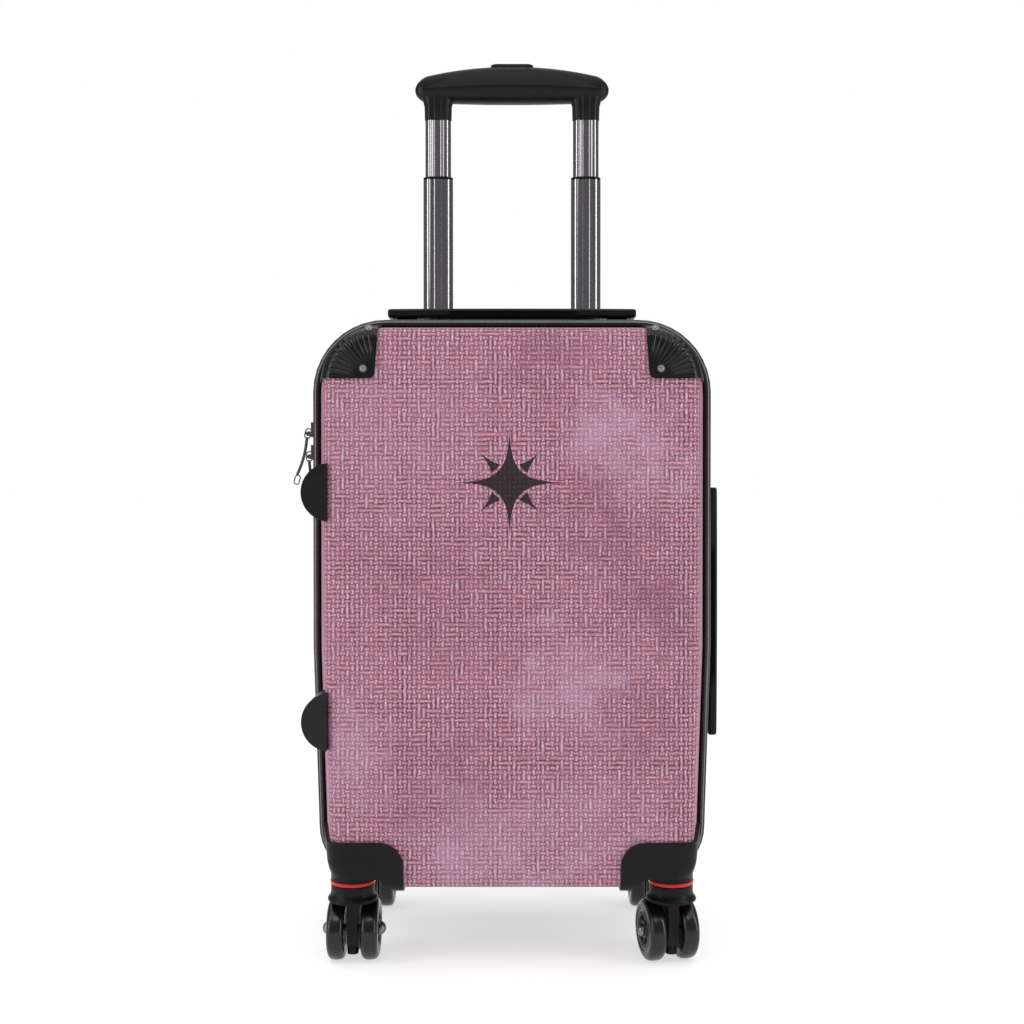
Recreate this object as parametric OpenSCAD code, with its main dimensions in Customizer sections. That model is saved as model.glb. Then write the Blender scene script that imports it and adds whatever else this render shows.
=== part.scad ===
// Hard shell cabin suitcase on four twin casters, with a telescopic trolley.
// Millimetres. X to the right, front face towards -Y, +Z up, floor at z = 0.

/* [Case] */
// Width over the zip rims
case_w = 350; // [320:1:420]
// Height of the top of the zip rims over the floor
case_top = 551; // [500:1:660]
// Height of the underside of the zip rims over the floor
case_bottom = 59; // [56:1:60]
// Depth from the front face to the rear face
case_d = 230; // [210:1:280]
// Distance of the zip line in front of the middle of the case
zip_offset = 20; // [0:1:40]
// How far the rims stand out from the shells
rim_proud = 6; // [3:0.5:8]
// Width of each rim along the depth
rim_w = 8; // [5:0.5:12]
// Width of the zip between the two rims
zip_w = 6; // [4:0.5:10]
// Slit between the two halves of the zip
zip_slit = 0.3; // [0.2:0.05:0.6]
// Thickness of the shells
wall = 2.4; // [1.8:0.1:4]
// Corner radius of the shells at the rim, seen from the front
corner_r = 58; // [44:1:66]
// Radius of the bottom corners of the shells at the rim, seen from the front
bottom_r = 40; // [30:1:44]
// Radius between the walls and the faces
face_r = 10; // [6:1:14]
// How far the side walls lean in from rim to face
draft_side = 14; // [6:1:16]
// How far the top wall leans in from rim to face
draft_top = 11; // [6:1:16]
// How far the bottom wall leans in from rim to face
draft_bottom = 8; // [4:1:12]
// How far each side comes in towards the bottom corners
waist_in = 5; // [0:1:10]
// Height where the sides start to come in
waist_z = 263; // [220:1:320]
// Thickness of the linings
lining_t = 1; // [0.6:0.1:2]
// Gap between neighbouring fixed skins
skin_gap = 0.1; // [0.05:0.05:0.3]

/* [Corner guards and feet] */
// Thickness of the top corner guards
guard_t = 2.2; // [1.5:0.1:3]
// Distance of a guard's inner edge from the middle plane
guard_in = 108; // [95:1:115]
// Height of a guard below the top of the rims
guard_h = 59; // [50:1:80]
// How far a guard reaches back along the walls
guard_back = 38; // [25:1:60]
// Radius of the rivet heads
rivet_r = 3.2; // [2:0.1:4]
// Radius of the side feet
foot_r = 24; // [15:1:30]
// How far a foot stands out from the middle plane
foot_out = 172.5; // [168:0.5:180]
// Depth of a foot along the case
foot_depth = 30; // [20:1:45]
// Height of the lower feet
foot_low_z = 211; // [180:1:240]
// Height of the upper feet
foot_high_z = 399; // [360:1:420]

/* [Casters] */
// Distance of the swivel axes from the middle plane
swivel_x = 135; // [130:1:140]
// Distance of the swivel axes from the case's middle, along the depth
swivel_y = 75; // [70:1:80]
// Wheel diameter
wheel_d = 52; // [46:1:54]
// Width of one wheel
wheel_w = 14.8; // [10:0.2:16]
// Radius of the hub inside the tyre
hub_r = 15; // [11:0.5:19]
// Distance of the axle behind the swivel axis
trail = 10; // [6:1:14]
// Thickness of the fork's middle plate
plate_t = 9.2; // [6:0.2:12]
// Gap between a wheel and the fork plate
wheel_gap = 2.3; // [1:0.1:4]
// Radius of the axles
axle_r = 3; // [2:0.25:4]
// Radius of the swivel stems
stem_r = 5; // [4:0.25:7]
// Radius of the swivel cups
cup_r = 18.5; // [15:0.5:21]
// Running clearance of axles and stems in their bores
run_gap = 0.05; // [0.02:0.01:0.1]
// Clearance between parts that move past each other
move_gap = 0.4; // [0.3:0.05:1]
// Rest angle of the front right caster about its stem
caster_turn = 12; // [0:1:30]
// Height of the wheel housings' upper edge over the floor
housing_top = 112; // [98:1:120]
// Distance of a housing's inner edge from the middle plane
housing_in = 89; // [86:1:100]
// Thickness of the housings' outer skin
housing_t = 3; // [2:0.2:4]
// How far a housing reaches back along the walls
housing_back = 66; // [60:1:70]
// Height of the pockets' roof over the floor
pocket_roof = 82; // [76:1:84]

/* [Trolley] */
// Distance between the middles of the two tube stacks
tube_pitch = 142; // [120:1:160]
// Distance of the tubes behind the middle of the case
tube_y = 85; // [80:1:88]
// Width of the middle tubes
middle_w = 28.5; // [24:0.5:32]
// Depth of the middle tubes
middle_d = 17; // [14:0.5:18]
// Width of the inner tubes
inner_w = 24.6; // [20:0.2:26]
// Depth of the inner tubes
inner_d = 13.2; // [10:0.2:14]
// Wall of all the tubes
tube_wall = 1.2; // [0.8:0.1:1.5]
// Play of the middle tubes in the outer tubes
tube_play = 0.6; // [0.4:0.1:1]
// How far the middle tubes stand out over the rims at rest
middle_out = 149; // [100:1:220]
// Length of the middle tubes
middle_len = 430; // [380:1:440]
// How far the inner tubes stand out of the middle tubes at rest
inner_out = 55; // [54:1:170]
// Length of the inner tubes inside the middle tubes
inner_in = 360; // [200:1:370]
// Width of the pull grip
grip_w = 186; // [170:1:200]
// Height of the pull grip
grip_h = 34; // [26:1:40]
// Depth of the pull grip
grip_d = 26; // [22:1:32]
// Width of the push button
button_w = 54; // [40:1:80]
// Travel of the push button
button_travel = 3; // [2:0.5:4]

/* [Carry handles] */
// Length of each carry handle
handle_len = 225; // [200:1:240]
// Width of each carry handle along the depth
handle_w = 28; // [22:1:36]
// Thickness of each carry handle
handle_t = 8; // [7:0.5:15]
// Distance of the handles behind the middle of the case
handle_y = 35; // [28:1:45]
// Height of the top handle's underside over the rims
top_handle_gap = 8.8; // [5:0.2:12]
// Reach of the side handle's outer face past the rims' half width
side_handle_proud = 13.5; // [11:0.5:21]
// Height of the middle of the side handle
side_handle_z = 290; // [260:1:310]
// How far a handle can be pulled out
handle_travel = 8; // [5:0.5:9]

/* [Zip pulls] */
// Height of the upper slider
slider_high_z = 455; // [440:1:460]
// Height of the lower slider
slider_low_z = 435; // [415:1:438]
// Length of the zip pulls from the pin down
pull_len = 48; // [35:1:60]
// Outward lean of the upper pull
pull_lean = 9; // [0:0.5:20]
// Width of the zip pulls
pull_w = 6.4; // [6:0.2:6.8]
// Thickness of the zip pulls
pull_t = 2; // [1.6:0.2:2.4]
// Distance of each pull from the zip line, the upper one in front and the lower one behind
pull_aside = 3.6; // [3.6:0.1:4.5]
// Radius of the padlock eyes in the pulls
eye_r = 2; // [1.6:0.1:2.2]

/* [Hidden] */
// Distance of the side handle's outer face from the middle plane
side_handle_out = case_w / 2 + side_handle_proud;
$fn = 48;

arc_steps = 10;                      // segments in a quarter of an outline's corner
bend_steps = 4;                      // rings in the bend between wall and face
shell_hw = case_w / 2 - rim_proud;
shell_top = case_top - rim_proud;
shell_bottom = case_bottom + rim_proud;
rim_y = [zip_offset + zip_w / 2, -zip_offset + zip_w / 2];
wall_len = [case_d / 2 - rim_y[0], case_d / 2 - rim_y[1]];
FRONT = 0;
REAR = 1;
black = [0.1, 0.1, 0.1];
housing_y = case_d / 2 - housing_back;
guard_z = case_top - guard_h;
axle_z = wheel_d / 2;
wheel_in = plate_t / 2 + wheel_gap;
crown_z = wheel_d + 1;
ring_z = crown_z + 15;
ring_h = 3;
cup_z = ring_z + ring_h + move_gap;
pocket_in = swivel_x - 36;
tube_x = tube_pitch / 2;
outer_w = middle_w + 2 * (tube_play + tube_wall);
outer_d = middle_d + 2 * (tube_play + tube_wall);
sleeve_w = outer_w + 1;
sleeve_d = outer_d + 1;
middle_top = case_top + middle_out;
collar_h = 2;
leg_z = middle_top + collar_h + inner_out;
grip_z = leg_z + 14;
outer_top = case_top - 24;
outer_bottom = 100;
handle_z = case_top + top_handle_gap;
slider_x = case_w / 2 + move_gap;
pin_out = 4.6;
knuckle_r = 2.2;
pin_drop = 4;
pin_x = slider_x + pin_out;

// Points of an arc in the XZ plane.
function arc(cx, cz, r, a0, a1, n = arc_steps) =
    [for (i = [0:n]) [cx + r * cos(a0 + (a1 - a0) * i / n), cz + r * sin(a0 + (a1 - a0) * i / n)]];

// A rounded rectangle about the origin.
function rounded(w, h, r, n = 6) = concat(
    arc(w / 2 - r, h / 2 - r, r, 0, 90, n), arc(r - w / 2, h / 2 - r, r, 90, 180, n),
    arc(r - w / 2, r - h / 2, r, 180, 270, n), arc(w / 2 - r, r - h / 2, r, 270, 360, n));

// Half width, top, bottom and corner radius of the shells where the wall has leant in by the share t,
// grown outwards by g.
function half_w(t, g) = shell_hw - t * draft_side + g;
function top_z(t, g) = shell_top - t * draft_top + g;
function bottom_z(t, g) = shell_bottom + t * draft_bottom - g;
function corner(t, g) = corner_r - t * draft_side + g;
function bottom_corner_r(t, g) = bottom_r - t * draft_side + g;

// Outline of the shells in the XZ plane.
function outline(t, g) =
    let (w = half_w(t, g), z1 = top_z(t, g), z0 = bottom_z(t, g), r = corner(t, g),
        b = bottom_corner_r(t, g))
    concat(arc(w - r, z1 - r, r, 0, 90), arc(r - w, z1 - r, r, 90, 180), [[-w, waist_z]],
        arc(b - w + waist_in, z0 + b, b, 180, 270), arc(w - b - waist_in, z0 + b, b, 270, 360),
        [[w, waist_z]]);

// A corner of the shells on the right, as a closed polygon that reaches in to the lines x = x_in, z = z_in.
function top_corner(t, g, x_in, z_in, r_in) =
    let (w = half_w(t, g), z1 = top_z(t, g), r = corner(t, g))
    concat([[w, z_in]], arc(w - r, z1 - r, r, 0, 90), [[x_in, z1]],
        arc(x_in + r_in, z_in + r_in, r_in, 180, 270, 6));
function bottom_corner(t, g, x_in, z_in, r_in) =
    let (w = half_w(t, g), z0 = bottom_z(t, g), r = bottom_corner_r(t, g))
    concat(arc(x_in + r_in, z_in - r_in, r_in, 90, 180, 6), [[x_in, z0]],
        arc(w - r - waist_in, z0 + r, r, 270, 360), [[w - waist_in * 0.85, z_in]]);

// Steps from the rim to the face: [share of the lean, growth, distance from the rim] for a skin grown by g.
function bend_path(len, g) = [for (i = [0:bend_steps]) let (a = 90 * i / bend_steps)
    [1, (face_r + g) * cos(a) - face_r, len - face_r + (face_r + g) * sin(a)]];
function skin_path(len, g, from) =
    concat([[from / (len - face_r), g, from]], bend_path(len, g));

// Puts an outline at a distance d from the rim of the front or the rear half.
function place(points, side, d) = let (y = side == REAR ? rim_y[1] + d : -rim_y[0] - d)
    [for (p = points) [p[0], y, p[1]]];

// Faces of a stack of closed rings with m points each; the stack closes on itself or has end caps.
function ring_faces(n, m, ring, flip) = concat(
    [for (k = [0:(ring ? n - 1 : n - 2)], i = [0:m - 1])
        let (a = k * m + i, b = k * m + (i + 1) % m, c = ((k + 1) % n) * m + (i + 1) % m,
            d = ((k + 1) % n) * m + i)
        for (f = [[a, b, c], [a, c, d]]) flip ? [f[2], f[1], f[0]] : f],
    ring ? [] : [let (cap = [for (i = [0:m - 1]) i]) flip ? cap : [for (i = [m - 1:-1:0]) i],
        let (cap = [for (i = [m - 1:-1:0]) (n - 1) * m + i]) flip ? cap : [for (i = [0:m - 1]) (n - 1) * m + i]]);

module stack(rings, flip) {
    n = len(rings);
    m = len(rings[0]);
    polyhedron(points = [for (r = rings) for (p = r) p], faces = ring_faces(n, m, false, flip), convexity = 6);
}

// The space inside the shells' outer surface grown by g, from one depth to the face.
module filled(side, g, from = 0) {
    stack([for (s = skin_path(wall_len[side], g, from)) place(outline(s[0], s[1]), side, s[2])], side == FRONT);
}

// A half of the case as a tray with one closed skin: outer surface, then face, then inner surface.
module tray(side, g_out, g_in) {
    difference() {
        filled(side, g_out);
        filled(side, g_in, -1);
    }
}

module top_corner_fill(side, g, x_in, z_in, r_in, from) {
    stack([for (s = skin_path(wall_len[side], g, from))
        place(top_corner(s[0], s[1], x_in, z_in, r_in), side, s[2])], side == FRONT);
}

module bottom_corner_fill(side, g, x_in, z_in, r_in, from) {
    stack([for (s = skin_path(wall_len[side], g, from))
        place(bottom_corner(s[0], s[1], x_in, z_in, r_in), side, s[2])], side == FRONT);
}

module both() {
    children();
    mirror([1, 0, 0]) children();
}

// Mirrors what is modelled on the front half to the rear half.
module on_side(side) {
    mirror([0, side, 0]) children();
}

// A prism along Y from y0 to y1 over an XZ polygon.
module along_y(points, y0, y1) {
    translate([0, y1, 0]) rotate([90, 0, 0]) linear_extrude(y1 - y0) polygon(points);
}

// The pocket for one caster at the front right, under its roof, with its walls moved out by grow.
module pocket(grow) {
    r = 14;
    points = concat([[case_w, 0], [case_w, pocket_roof + grow]],
        arc(pocket_in - grow + r, pocket_roof + grow - r, r, 90, 180, 8), [[pocket_in - grow, 0]]);
    along_y(points, -case_d, -housing_y - housing_t + grow);
}

module shell(side) {
    color(side == FRONT ? [0.64, 0.45, 0.53] : black)
        difference() {
            tray(side, 0, -wall);
            on_side(side) both() pocket(housing_t + skin_gap);
            if (side == REAR) {
                for (x = [-tube_x, tube_x]) translate([x, tube_y, outer_top - 2])
                    linear_extrude(60) tube_outline(sleeve_w + 2 * skin_gap, sleeve_d + 2 * skin_gap);
            }
        }
}

module rim(side) {
    d0 = side == REAR ? rim_y[1] : -rim_y[0] - rim_w;
    color(black) difference() {
        along_y(outline(0, rim_proud), d0, d0 + rim_w);
        along_y(outline(0, skin_gap), d0 - 1, d0 + rim_w + 1);
    }
}

module zip_half(side) {
    d0 = side == REAR ? -zip_offset + zip_slit / 2 : -rim_y[0];
    d1 = side == REAR ? rim_y[1] : -zip_offset - zip_slit / 2;
    color([0.2, 0.2, 0.2]) difference() {
        along_y(outline(0, rim_proud - 1), d0, d1);
        along_y(outline(0, -wall), d0 - 1, d1 + 1);
    }
}

module hinge_tape() {
    x = half_w(0, -wall) - 10;
    color([0.25, 0.25, 0.25]) translate([x, -zip_offset - 24, 150]) cube([1, 48, 300]);
}

module lining(side) {
    color([0.45, 0.45, 0.47]) difference() {
        tray(side, -wall - 2 * skin_gap, -wall - 2 * skin_gap - lining_t);
        on_side(side) both() pocket(housing_t + 2 * skin_gap);
        if (side == REAR) {
            for (x = [-tube_x, tube_x]) translate([x, tube_y, outer_top - 2])
                linear_extrude(60) tube_outline(sleeve_w + 1, sleeve_d + 1);
        }
    }
}

module guards(side) {
    from = wall_len[side] - guard_back;
    edge_lean = 4;
    round = 5;
    region = concat([[case_w, guard_z], [case_w, 2 * case_top], [guard_in, 2 * case_top], [guard_in, shell_top]],
        arc(guard_in + edge_lean + round, guard_z + round, round, 180, 270, 6));
    color(black) both() difference() {
        intersection() {
            top_corner_fill(side, guard_t, guard_in - 20, guard_z - 20, 4, from);
            along_y(region, -case_d, case_d);
        }
        top_corner_fill(side, skin_gap, guard_in - 30, guard_z - 30, 4, from - 5);
    }
}

// A domed rivet head with its foot on a guard.
module rivet_head() {
    rotate([90, 0, 0]) intersection() {
        translate([0, 0, -rivet_r]) sphere(r = rivet_r * 1.5, $fn = 24);
        cylinder(r = rivet_r, h = rivet_r);
    }
}

// Two rivets on each guard: one on the face and one on the bend towards the top.
module guard_rivets(side) {
    bend_y = -case_d / 2 + face_r;
    bend_z = shell_top - draft_top - face_r;
    from = wall_len[side] - guard_back;
    color([0.2, 0.2, 0.2]) both() difference() {
        on_side(side) {
            translate([guard_in + 13.5, -case_d / 2 - guard_t, guard_z + 8]) rivet_head();
            translate([guard_in + 9, bend_y, bend_z]) rotate([-55, 0, 0])
                translate([0, 0.6 - face_r - guard_t, 0]) rivet_head();
        }
        top_corner_fill(side, guard_t, guard_in - 20, guard_z - 20, 4, from);
    }
}

module feet(side) {
    y1 = -case_d / 2 + foot_depth;
    y0 = -case_d / 2 - guard_t;
    color(black) difference() {
        on_side(side) for (z = [foot_low_z, foot_high_z]) translate([foot_r - foot_out, y1, z])
            rotate([90, 0, 0]) intersection() {
                cylinder(r = foot_r, h = y1 - y0, $fn = 64);
                translate([-foot_r, -foot_r, 0]) cube([foot_r - 3, 2 * foot_r, y1 - y0]);
            }
        filled(side, skin_gap, wall_len[side] - foot_depth - 10);
    }
}

module wheel_housing(side) {
    from = wall_len[side] - housing_back;
    difference() {
        union() {
            difference() {
                bottom_corner_fill(side, housing_t, housing_in, housing_top, 20, from);
                bottom_corner_fill(side, skin_gap, housing_in - 20, housing_top + 20, 20, from - 5);
            }
            intersection() {
                bottom_corner_fill(side, 1, housing_in, housing_top, 20, from);
                on_side(side) pocket(housing_t);
            }
        }
        on_side(side) pocket(0);
    }
    on_side(side) translate([swivel_x, -swivel_y, cup_z]) difference() {
        cylinder(r = cup_r, h = pocket_roof - cup_z + 0.5);
        translate([0, 0, -1]) cylinder(r = stem_r + run_gap, h = pocket_roof - cup_z);
    }
}

module wheel_housings(side) {
    color(black) both() wheel_housing(side);
}

module swivel_rings(side) {
    color([0.8, 0.15, 0.15]) on_side(side) both() translate([swivel_x, -swivel_y, cup_z - ring_h])
        difference() {
            cylinder(r = cup_r + 0.6, h = ring_h);
            translate([0, 0, -1]) cylinder(r = stem_r + 1, h = ring_h + 2);
        }
}

// Places children that are modelled about a swivel axis, with the axle behind it.
module at_caster(side, right) {
    turn = side == FRONT && right > 0 ? caster_turn : 0;
    translate([right * swivel_x, (side == FRONT ? -1 : 1) * swivel_y, 0]) rotate([0, 0, turn]) children();
}

module fork() {
    color(black) difference() {
        union() {
            translate([0, 0, crown_z]) cylinder(r = cup_r, h = ring_z - crown_z - move_gap);
            cylinder(r = stem_r, h = pocket_roof - 2, center = false);
            translate([-plate_t / 2, trail, axle_z]) rotate([0, 90, 0]) cylinder(r = axle_z - 8, h = plate_t);
            translate([-plate_t / 2, -8, axle_z + 2]) cube([plate_t, trail + 24, crown_z - axle_z]);
        }
        translate([-50, -50, -1]) cube([100, 50 - 8, crown_z + 1]);
        translate([-50, -50, -1]) cube([100, 100, axle_z - 18 + 1]);
        translate([-50, -8.5, -1]) cube([50 - plate_t / 2, 60, crown_z + 1]);
        translate([plate_t / 2, -8.5, -1]) cube([50, 60, crown_z + 1]);
        translate([-plate_t, trail, axle_z]) rotate([0, 90, 0])
            cylinder(r = axle_r, h = 2 * plate_t);
    }
}

module axle() {
    reach = wheel_in + wheel_w + 0.6;
    color([0.45, 0.42, 0.38]) translate([0, trail, axle_z]) rotate([0, 90, 0]) {
        translate([0, 0, -reach]) cylinder(r = axle_r, h = 2 * reach);
        for (s = [-1, 1]) scale([1, 1, s]) translate([0, 0, reach]) {
            cylinder(r = 5.5, h = 2);
            translate([0, 0, 2]) intersection() {
                translate([0, 0, -3]) sphere(r = 6.265, $fn = 32);
                cylinder(r = 5.5, h = 4);
            }
        }
    }
}

// A tyre with rounded shoulders on side s of the fork plate.
module tyre(s) {
    r = wheel_d / 2;
    round = 4;
    profile = concat([[hub_r, 0], [r - round, 0]],
        [for (a = [-75:15:-15]) [r - round + round * cos(a), round + round * sin(a)]],
        [[r, round], [r, wheel_w - round]],
        [for (a = [15:15:75]) [r - round + round * cos(a), wheel_w - round + round * sin(a)]],
        [[r - round, wheel_w], [hub_r, wheel_w]]);
    color([0.14, 0.14, 0.14]) translate([s * wheel_in, trail, axle_z]) rotate([0, s * 90, 0])
        rotate_extrude($fn = 64) polygon(profile);
}

module hub(s) {
    color([0.4, 0.4, 0.4]) translate([s * wheel_in, trail, axle_z]) rotate([0, s * 90, 0])
        difference() {
            cylinder(r = hub_r, h = wheel_w - 1);
            translate([0, 0, -1]) cylinder(r = axle_r + run_gap, h = wheel_w + 2);
            translate([0, 0, wheel_w - 3]) difference() {
                cylinder(r = hub_r - 2.5, h = 4);
                translate([0, 0, -1]) cylinder(r = 7, h = 6);
            }
        }
}

// Oval outline of a tube: a bar with round ends.
module tube_outline(w, d) {
    square([w - d, d], center = true);
    for (s = [-1, 1]) translate([s * (w - d) / 2, 0]) circle(d = d);
}

module tubes(w, d, z0, len) {
    for (x = [-tube_x, tube_x]) translate([x, tube_y, z0]) linear_extrude(len) difference() {
        tube_outline(w, d);
        tube_outline(w - 2 * tube_wall, d - 2 * tube_wall);
    }
}

module trolley_outer_tubes() {
    color([0.3, 0.3, 0.32]) tubes(outer_w, outer_d, outer_bottom, outer_top - outer_bottom);
}

module trolley_bracket() {
    color(black) difference() {
        translate([-tube_x - 24, tube_y - 13, outer_bottom - 6]) cube([2 * tube_x + 48, 25, 26]);
        for (x = [-tube_x, tube_x]) translate([x, tube_y, outer_bottom])
            linear_extrude(40) tube_outline(outer_w + 2 * skin_gap, outer_d + 2 * skin_gap);
        translate([-tube_x + 22, tube_y - 20, outer_bottom + 4]) cube([2 * tube_x - 44, 40, 40]);
    }
}

module trolley_bezel() {
    plate_top = top_z(0.8, 0) + 6;
    color(black) difference() {
        union() {
            difference() {
                translate([0, tube_y, plate_top - 16]) linear_extrude(16)
                    polygon(rounded(tube_pitch + 52, 32, 8));
                filled(REAR, skin_gap);
            }
            for (x = [-tube_x, tube_x]) translate([x, tube_y, outer_top])
                linear_extrude(plate_top - outer_top) tube_outline(sleeve_w, sleeve_d);
        }
        for (x = [-tube_x, tube_x]) translate([x, tube_y, outer_top - 1])
            linear_extrude(60) tube_outline(middle_w + 2 * move_gap, middle_d + 2 * move_gap);
    }
}

module trolley_middle_tubes() {
    color([0.12, 0.12, 0.13]) tubes(middle_w, middle_d, middle_top - middle_len, middle_len);
}

module trolley_collars() {
    color(black) for (x = [-tube_x, tube_x]) translate([x, tube_y, middle_top]) linear_extrude(collar_h)
        difference() {
            tube_outline(middle_w, middle_d);
            tube_outline(inner_w + 2 * move_gap, inner_d + 2 * move_gap);
        }
}

module trolley_inner_tubes() {
    color([0.16, 0.16, 0.17]) tubes(inner_w, inner_d, leg_z - inner_out - inner_in, inner_out + inner_in);
}

// The grip bar with a socket leg over each tube and a pocket for the button.
module trolley_grip() {
    leg_w = middle_w;
    color(black) difference() {
        union() {
            translate([0, tube_y + grip_d / 2, grip_z + grip_h / 2]) rotate([90, 0, 0])
                linear_extrude(grip_d) polygon(rounded(grip_w, grip_h, 14));
            for (x = [-tube_x, tube_x]) translate([x, tube_y, leg_z])
                linear_extrude(grip_z - leg_z + 6) tube_outline(leg_w, middle_d);
        }
        translate([-button_w / 2 - move_gap, tube_y - 7 - move_gap, grip_z + grip_h - 9])
            cube([button_w + 2 * move_gap, 14 + 2 * move_gap, 20]);
        for (x = [-tube_x, tube_x]) translate([x, tube_y, leg_z - 1])
            linear_extrude(12) tube_outline(inner_w + 2 * skin_gap, inner_d + 2 * skin_gap);
    }
}

module trolley_button() {
    color([0.15, 0.15, 0.15]) translate([0, tube_y, grip_z + grip_h - 5])
        linear_extrude(5 + button_travel + 0.5) polygon(rounded(button_w, 14, 3));
}

// A carry handle lying along X: two sockets on the case and a grip with a leg in each.
module handle_base(height) {
    for (x = [-1, 1]) translate([x * (handle_len / 2 - 17), 0, -height]) linear_extrude(height - 2)
        difference() {
            polygon(rounded(30, handle_w - 2, 5));
            polygon(rounded(18 + 2 * move_gap, 12 + 2 * move_gap, 2));
        }
}

module handle_grip(leg) {
    end = 44;
    translate([0, handle_w / 2, handle_t / 2]) rotate([90, 0, 0]) linear_extrude(handle_w) difference() {
        polygon(rounded(handle_len, handle_t, 3));
        translate([0, handle_t / 2]) polygon(rounded(handle_len - 2 * end, 3, 1.4));
    }
    for (x = [-1, 1]) translate([x * (handle_len / 2 - 17), 0, -leg]) linear_extrude(leg + 1)
        polygon(rounded(18, 12, 2));
}

module top_handle_at() {
    translate([0, handle_y, handle_z]) children();
}

module side_handle_at() {
    translate([side_handle_out - handle_t, handle_y, side_handle_z]) rotate([0, 90, 0]) children();
}

module top_handle_base() {
    color(black) difference() {
        top_handle_at() handle_base(20);
        filled(REAR, skin_gap);
    }
}

module top_handle_grip() {
    color([0.13, 0.13, 0.13]) top_handle_at() handle_grip(12);
}

module side_handle_base() {
    color(black) difference() {
        side_handle_at() handle_base(20);
        filled(REAR, skin_gap);
    }
}

module side_handle_grip() {
    color([0.13, 0.13, 0.13]) side_handle_at() handle_grip(9);
}

// A slider on the zip at the left, with two ears and the pin that holds its pull.
module zip_slider(z, aside) {
    ear_t = 1.4;
    block_t = pin_out - knuckle_r - move_gap;
    block_w = 2 * (pull_aside + pull_w / 2) + 1;
    color([0.35, 0.35, 0.36]) translate([-slider_x, -zip_offset, z]) {
        translate([-block_t, -block_w / 2, -7]) cube([block_t, block_w, 13]);
        for (s = [-1, 1]) translate([0, aside + s * (pull_w / 2 - 0.5) + ear_t / 2, -pin_drop]) {
            translate([-pin_out, 0, 0]) rotate([90, 0, 0]) cylinder(r = 2, h = ear_t);
            translate([-pin_out, -ear_t, -2]) cube([pin_out - 1, ear_t, 4]);
        }
        translate([-pin_out, aside + pull_w / 2 - 0.5, -pin_drop]) rotate([90, 0, 0])
            cylinder(r = 1, h = pull_w - 1);
    }
}

// A flat pull that hangs from a slider's pin, with a padlock eye near its lower end.
module zip_pull(z, aside, lean) {
    knuckle_w = pull_w - 3.2;
    neck = 9;
    color([0.4, 0.4, 0.41]) translate([-pin_x, aside - zip_offset, z - pin_drop]) rotate([0, lean, 0])
        difference() {
            union() {
                rotate([90, 0, 0]) cylinder(r = knuckle_r, h = knuckle_w, center = true);
                translate([-pull_t / 2, -knuckle_w / 2, -neck]) cube([pull_t, knuckle_w, neck]);
                translate([pull_t / 2, 0, -(pull_len + neck - 2) / 2]) rotate([0, -90, 0])
                    linear_extrude(pull_t) polygon(rounded(pull_len - neck + 2, pull_w, pull_w / 2 - 0.1));
            }
            rotate([90, 0, 0]) cylinder(r = 1 + run_gap, h = 10, center = true);
            translate([-5, 0, eye_r + 1.6 - pull_len]) rotate([0, 90, 0]) cylinder(r = eye_r, h = 10);
        }
}

shell(REAR);  // rear_shell
shell(FRONT);  // front_shell
rim(REAR);  // rear_rim
rim(FRONT);  // front_rim
zip_half(REAR);  // rear_zip
zip_half(FRONT);  // front_zip
hinge_tape();
lining(REAR);  // rear_lining
lining(FRONT);  // front_lining
guards(REAR);  // rear_guards
guards(FRONT);  // front_guards
guard_rivets(REAR);  // rear_guard_rivets
guard_rivets(FRONT);  // front_guard_rivets
feet(REAR);  // rear_feet
feet(FRONT);  // front_feet
wheel_housings(REAR);  // rear_wheel_housings
wheel_housings(FRONT);  // front_wheel_housings
swivel_rings(REAR);  // rear_swivel_rings
swivel_rings(FRONT);  // front_swivel_rings
at_caster(FRONT, -1) fork();  // fork_front_left
at_caster(FRONT, 1) fork();  // fork_front_right
at_caster(REAR, -1) fork();  // fork_rear_left
at_caster(REAR, 1) fork();  // fork_rear_right
at_caster(FRONT, -1) axle();  // axle_front_left
at_caster(FRONT, 1) axle();  // axle_front_right
at_caster(REAR, -1) axle();  // axle_rear_left
at_caster(REAR, 1) axle();  // axle_rear_right
at_caster(FRONT, -1) tyre(-1);  // tyre_front_left_a
at_caster(FRONT, -1) tyre(1);  // tyre_front_left_b
at_caster(FRONT, 1) tyre(-1);  // tyre_front_right_a
at_caster(FRONT, 1) tyre(1);  // tyre_front_right_b
at_caster(REAR, -1) tyre(-1);  // tyre_rear_left_a
at_caster(REAR, -1) tyre(1);  // tyre_rear_left_b
at_caster(REAR, 1) tyre(-1);  // tyre_rear_right_a
at_caster(REAR, 1) tyre(1);  // tyre_rear_right_b
at_caster(FRONT, -1) hub(-1);  // hub_front_left_a
at_caster(FRONT, -1) hub(1);  // hub_front_left_b
at_caster(FRONT, 1) hub(-1);  // hub_front_right_a
at_caster(FRONT, 1) hub(1);  // hub_front_right_b
at_caster(REAR, -1) hub(-1);  // hub_rear_left_a
at_caster(REAR, -1) hub(1);  // hub_rear_left_b
at_caster(REAR, 1) hub(-1);  // hub_rear_right_a
at_caster(REAR, 1) hub(1);  // hub_rear_right_b
trolley_outer_tubes();
trolley_bracket();
trolley_bezel();
trolley_middle_tubes();
trolley_collars();
trolley_inner_tubes();
trolley_grip();
trolley_button();
top_handle_base();
top_handle_grip();
side_handle_base();
side_handle_grip();
zip_slider(slider_high_z, -pull_aside);  // zip_slider_high
zip_slider(slider_low_z, pull_aside);  // zip_slider_low
zip_pull(slider_high_z, -pull_aside, pull_lean);  // zip_pull_high
zip_pull(slider_low_z, pull_aside, 0);  // zip_pull_low
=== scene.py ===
"""Looks of a hard shell cabin suitcase with casters, trolley, carry handles and a woven-look print."""

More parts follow.
